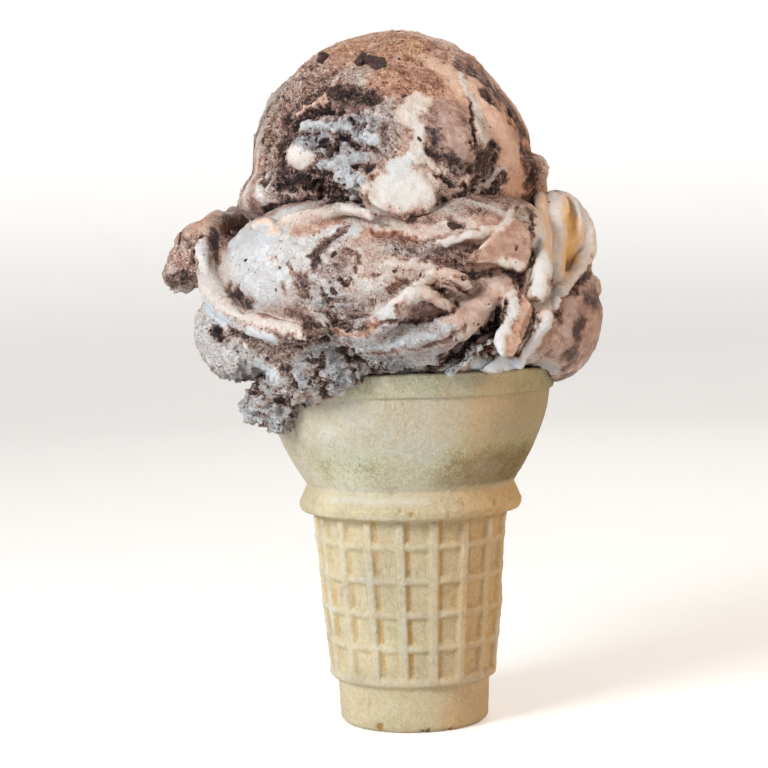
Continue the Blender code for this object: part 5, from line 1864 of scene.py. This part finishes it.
class IceCreamSettings(bpy.types.PropertyGroup):
    """Colours and detail of the ice cream."""

    cool_cream: FloatVectorProperty(
        name="Cool cream",
        description="Colour of shaded, icy cream",
        subtype="COLOR", default=(0.84, 0.875, 0.91), min=0, max=1,
    )
    cream: FloatVectorProperty(
        name="Cream",
        description="Colour of plain cream",
        subtype="COLOR", default=(0.9, 0.885, 0.87), min=0, max=1,
    )
    # Warm cream also colours the painted glow at the sheets' thin edges and the painted shade tint in warm
    # creases.
    warm_cream: FloatVectorProperty(
        name="Warm cream",
        description="Colour of thin, warm edges",
        subtype="COLOR", default=(0.92, 0.82, 0.75), min=0, max=1,
    )
    butter: FloatVectorProperty(
        name="Butter",
        description="Colour of the deepest buttery cream",
        subtype="COLOR", default=(0.93, 0.78, 0.52), min=0, max=1,
    )
    crumb_colour: FloatVectorProperty(
        name="Crumbs",
        description="Colour of ground chocolate cookie",
        subtype="COLOR", default=(0.29, 0.21, 0.2), min=0, max=1,
    )
    detail: FloatProperty(
        name="Detail",
        description="Spacing of the points that the ice cream is modelled on, in mm",
        default=0.38, min=0.3, max=2.0,
    )


class StageSettings(bpy.types.PropertyGroup):
    """Floor, light and camera."""

    floor_colour: FloatVectorProperty(
        name="Floor",
        description="Colour of the floor",
        subtype="COLOR", default=(0.93, 0.93, 0.93), min=0, max=1,
    )
    floor_glow: FloatProperty(
        name="Floor glow",
        description="Light that the floor and backdrop add to themselves",
        default=0.32, min=0.0, max=1.0,
    )
    light: FloatProperty(
        name="Light",
        description="Strength of the studio light",
        default=1.0, min=0.0, max=10.0,
    )


class ICECREAM_OT_wafer_cup(bpy.types.Operator):
    """Build the wafer cup"""

    bl_idname = "icecream.wafer_cup"
    bl_label = "Wafer cup"

    def execute(self, context):
        piece = build_wafer_cup(context.scene.wafer_settings)
        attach(piece, "root")
        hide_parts("wafer_cup")
        return {"FINISHED"}


class ICECREAM_OT_lower_scoop(bpy.types.Operator):
    """Build the lower scoop"""

    bl_idname = "icecream.lower_scoop"
    bl_label = "Lower scoop"

    def execute(self, context):
        piece = build_scoop(LOWER_SCOOP, context.scene.ice_cream_settings)
        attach(piece, "root")
        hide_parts("lower_scoop")
        return {"FINISHED"}


class ICECREAM_OT_upper_scoop(bpy.types.Operator):
    """Build the upper scoop"""

    bl_idname = "icecream.upper_scoop"
    bl_label = "Upper scoop"

    def execute(self, context):
        piece = build_scoop(UPPER_SCOOP, context.scene.ice_cream_settings)
        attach(piece, "root")
        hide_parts("upper_scoop")
        return {"FINISHED"}


class ICECREAM_OT_cookie(bpy.types.Operator):
    """Scatter the cookie pieces over both scoops"""

    bl_idname = "icecream.cookie"
    bl_label = "Cookie pieces"

    def execute(self, context):
        settings = context.scene.cookie_settings
        for scoop, chunks, seed in (("upper", UPPER_CHUNKS, 21), ("lower", LOWER_CHUNKS, 22)):
            skin = bpy.data.objects[f"{scoop}_scoop_skin"]
            piece = cookie_pieces(f"{scoop}_cookie_pieces", skin, chunks, settings.crumbs, seed, settings)
            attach(piece, "root")
        return {"FINISHED"}


class ICECREAM_OT_stage(bpy.types.Operator):
    """Build the floor, the lights and the camera"""

    bl_idname = "icecream.stage"
    bl_label = "Stage"

    def execute(self, context):
        build_stage(context.scene.stage_settings)
        return {"FINISHED"}


class ICECREAM_PT_panel(bpy.types.Panel):
    """Settings and builders of the ice cream cone"""

    bl_label = "Ice cream cone"
    bl_idname = "ICECREAM_PT_panel"
    bl_space_type = "VIEW_3D"
    bl_region_type = "UI"
    bl_category = "Ice cream cone"

    def draw(self, context):
        scene = context.scene
        for settings in (
            scene.wafer_settings,
            scene.ice_cream_settings,
            scene.cookie_settings,
            scene.stage_settings,
        ):
            box = self.layout.box()
            for name in settings.__annotations__:
                box.prop(settings, name)
        for operator in OPERATORS:
            self.layout.operator(operator.bl_idname)


def add_area_light(name, place, size, power, colour):
    light = bpy.data.lights.new(name, "AREA")
    light.shape = "DISK"
    light.size = size
    light.energy = power
    light.color = colour
    lamp = bpy.data.objects.new(name, light)
    bpy.context.scene.collection.objects.link(lamp)
    lamp.location = place
    lamp.rotation_mode = "QUATERNION"
    lamp.rotation_quaternion = (Vector(LIGHT_TARGET) - lamp.location).to_track_quat("-Z", "Y")


LIGHT_TARGET = (0, 0, 0.09)
LIGHTS = (  # name, place, size, power and colour
    ("key", (-0.41, -0.42, 0.36), 0.26, 4.2, (0.94, 0.975, 1.0)),
    ("warm_side", (0.5, -0.12, 0.3), 0.3, 1.3, (1.0, 0.72, 0.48)),
    ("back", (0.1, 0.62, 0.6), 0.5, 1.2, (1.0, 0.97, 0.94)),
)
SKY_COLOUR = (1.0, 0.94, 0.86, 1.0)
SKY_STRENGTH = 0.36
CAMERA_DISTANCE = 0.44
CAMERA_HEIGHT = 0.1
CAMERA_LENS = 96.56
CAMERA_PITCH = 3.6055  # degrees below the level
CAMERA_ROLL = 1.26
CAMERA_AIM_LEFT = 0.005118
FLOOR_OUTLINE = (  # radius and height of the floor, from its middle to its raised edge
    (0.0, 0.0), (0.3, 0.0), (0.6, 0.0), (0.8, 0.0), (1.0, 0.04), (1.18, 0.14), (1.3, 0.32),
    (1.35, 0.6), (1.35, 1.1),
)


def add_camera():
    camera = bpy.data.cameras.new("camera")
    camera.sensor_width = 36.0
    camera.lens = CAMERA_LENS
    camera.clip_start = 0.01
    camera.clip_end = 20.0
    stand = bpy.data.objects.new("camera", camera)
    bpy.context.scene.collection.objects.link(stand)
    stand.location = (0.0, -CAMERA_DISTANCE, CAMERA_HEIGHT)
    pitch = math.radians(CAMERA_PITCH)
    yaw = math.atan(CAMERA_AIM_LEFT / CAMERA_DISTANCE)
    ahead = Vector((-math.sin(yaw) * math.cos(pitch), math.cos(yaw) * math.cos(pitch), -math.sin(pitch)))
    stand.rotation_mode = "QUATERNION"
    roll = Matrix.Rotation(-math.radians(CAMERA_ROLL), 4, "Z").to_quaternion()
    stand.rotation_quaternion = ahead.to_track_quat("-Z", "Y") @ roll
    bpy.context.scene.camera = stand


def build_floor(settings):
    """A round floor whose edge sweeps up on all sides."""
    mesh = bpy.data.meshes.new("floor")
    form = bmesh.new()
    line = [form.verts.new((radius, 0.0, height)) for radius, height in FLOOR_OUTLINE]
    edges = [form.edges.new(pair) for pair in zip(line, line[1:])]
    bmesh.ops.spin(
        form, geom=line + edges, cent=(0, 0, 0), axis=(0, 0, 1), angle=2 * math.pi, steps=96, use_merge=True
    )
    bmesh.ops.remove_doubles(form, verts=form.verts, dist=0.0001)
    bmesh.ops.recalc_face_normals(form, faces=form.faces)
    form.to_mesh(mesh)
    form.free()
    mesh.shade_smooth()
    floor = bpy.data.objects.new("floor", mesh)
    bpy.context.scene.collection.objects.link(floor)
    material, tree, shader = new_material("pale_floor")
    speckle = noise_node(tree, millimetres(tree), 40.0, 2.0)
    low = tuple(c * 0.98 for c in settings.floor_colour)
    colour = blend_colours(tree, speckle, linear(settings.floor_colour), linear(low))
    tree.links.new(colour, shader.inputs["Base Color"])
    shader.inputs["Roughness"].default_value = 0.9
    seen = add_node(tree, "ShaderNodeLightPath").outputs["Is Camera Ray"]
    up = add_node(tree, "ShaderNodeSeparateXYZ", {0: millimetres(tree)}).outputs["Z"]
    glow = smooth_step(tree, up, 0.0, 200.0, settings.floor_glow, 2.0 * settings.floor_glow)
    shader.inputs["Emission Color"].default_value = (1.0, 1.0, 1.0, 1.0)
    tree.links.new(maths(tree, "MULTIPLY", seen, glow), shader.inputs["Emission Strength"])
    mesh.materials.append(material)


def build_stage(settings):
    build_floor(settings)
    world = bpy.data.worlds.new("studio")
    world.use_nodes = True
    sky = world.node_tree.nodes["Background"]
    sky.inputs["Color"].default_value = SKY_COLOUR
    sky.inputs["Strength"].default_value = SKY_STRENGTH * settings.light
    scene = bpy.context.scene
    scene.world = world
    scene.view_settings.view_transform = "Standard"
    for name, place, size, power, colour in LIGHTS:
        add_area_light(name, place, size, power * settings.light, colour)
    add_camera()


OPERATORS = (
    ICECREAM_OT_stage,
    ICECREAM_OT_wafer_cup,
    ICECREAM_OT_lower_scoop,
    ICECREAM_OT_upper_scoop,
    ICECREAM_OT_cookie,
)
CLASSES = (WaferSettings, IceCreamSettings, CookieSettings, StageSettings, *OPERATORS, ICECREAM_PT_panel)


def register():
    for made in CLASSES:
        bpy.utils.register_class(made)
    bpy.types.Scene.wafer_settings = PointerProperty(type=WaferSettings)
    bpy.types.Scene.ice_cream_settings = PointerProperty(type=IceCreamSettings)
    bpy.types.Scene.cookie_settings = PointerProperty(type=CookieSettings)
    bpy.types.Scene.stage_settings = PointerProperty(type=StageSettings)


def unregister():
    del bpy.types.Scene.stage_settings
    del bpy.types.Scene.cookie_settings
    del bpy.types.Scene.ice_cream_settings
    del bpy.types.Scene.wafer_settings
    for made in reversed(CLASSES):
        bpy.utils.unregister_class(made)


def main():
    register()
    bpy.ops.icecream.stage()
    bpy.ops.icecream.wafer_cup()
    bpy.ops.icecream.lower_scoop()
    bpy.ops.icecream.upper_scoop()
    bpy.ops.icecream.cookie()


if __name__ == "__main__":
    main()
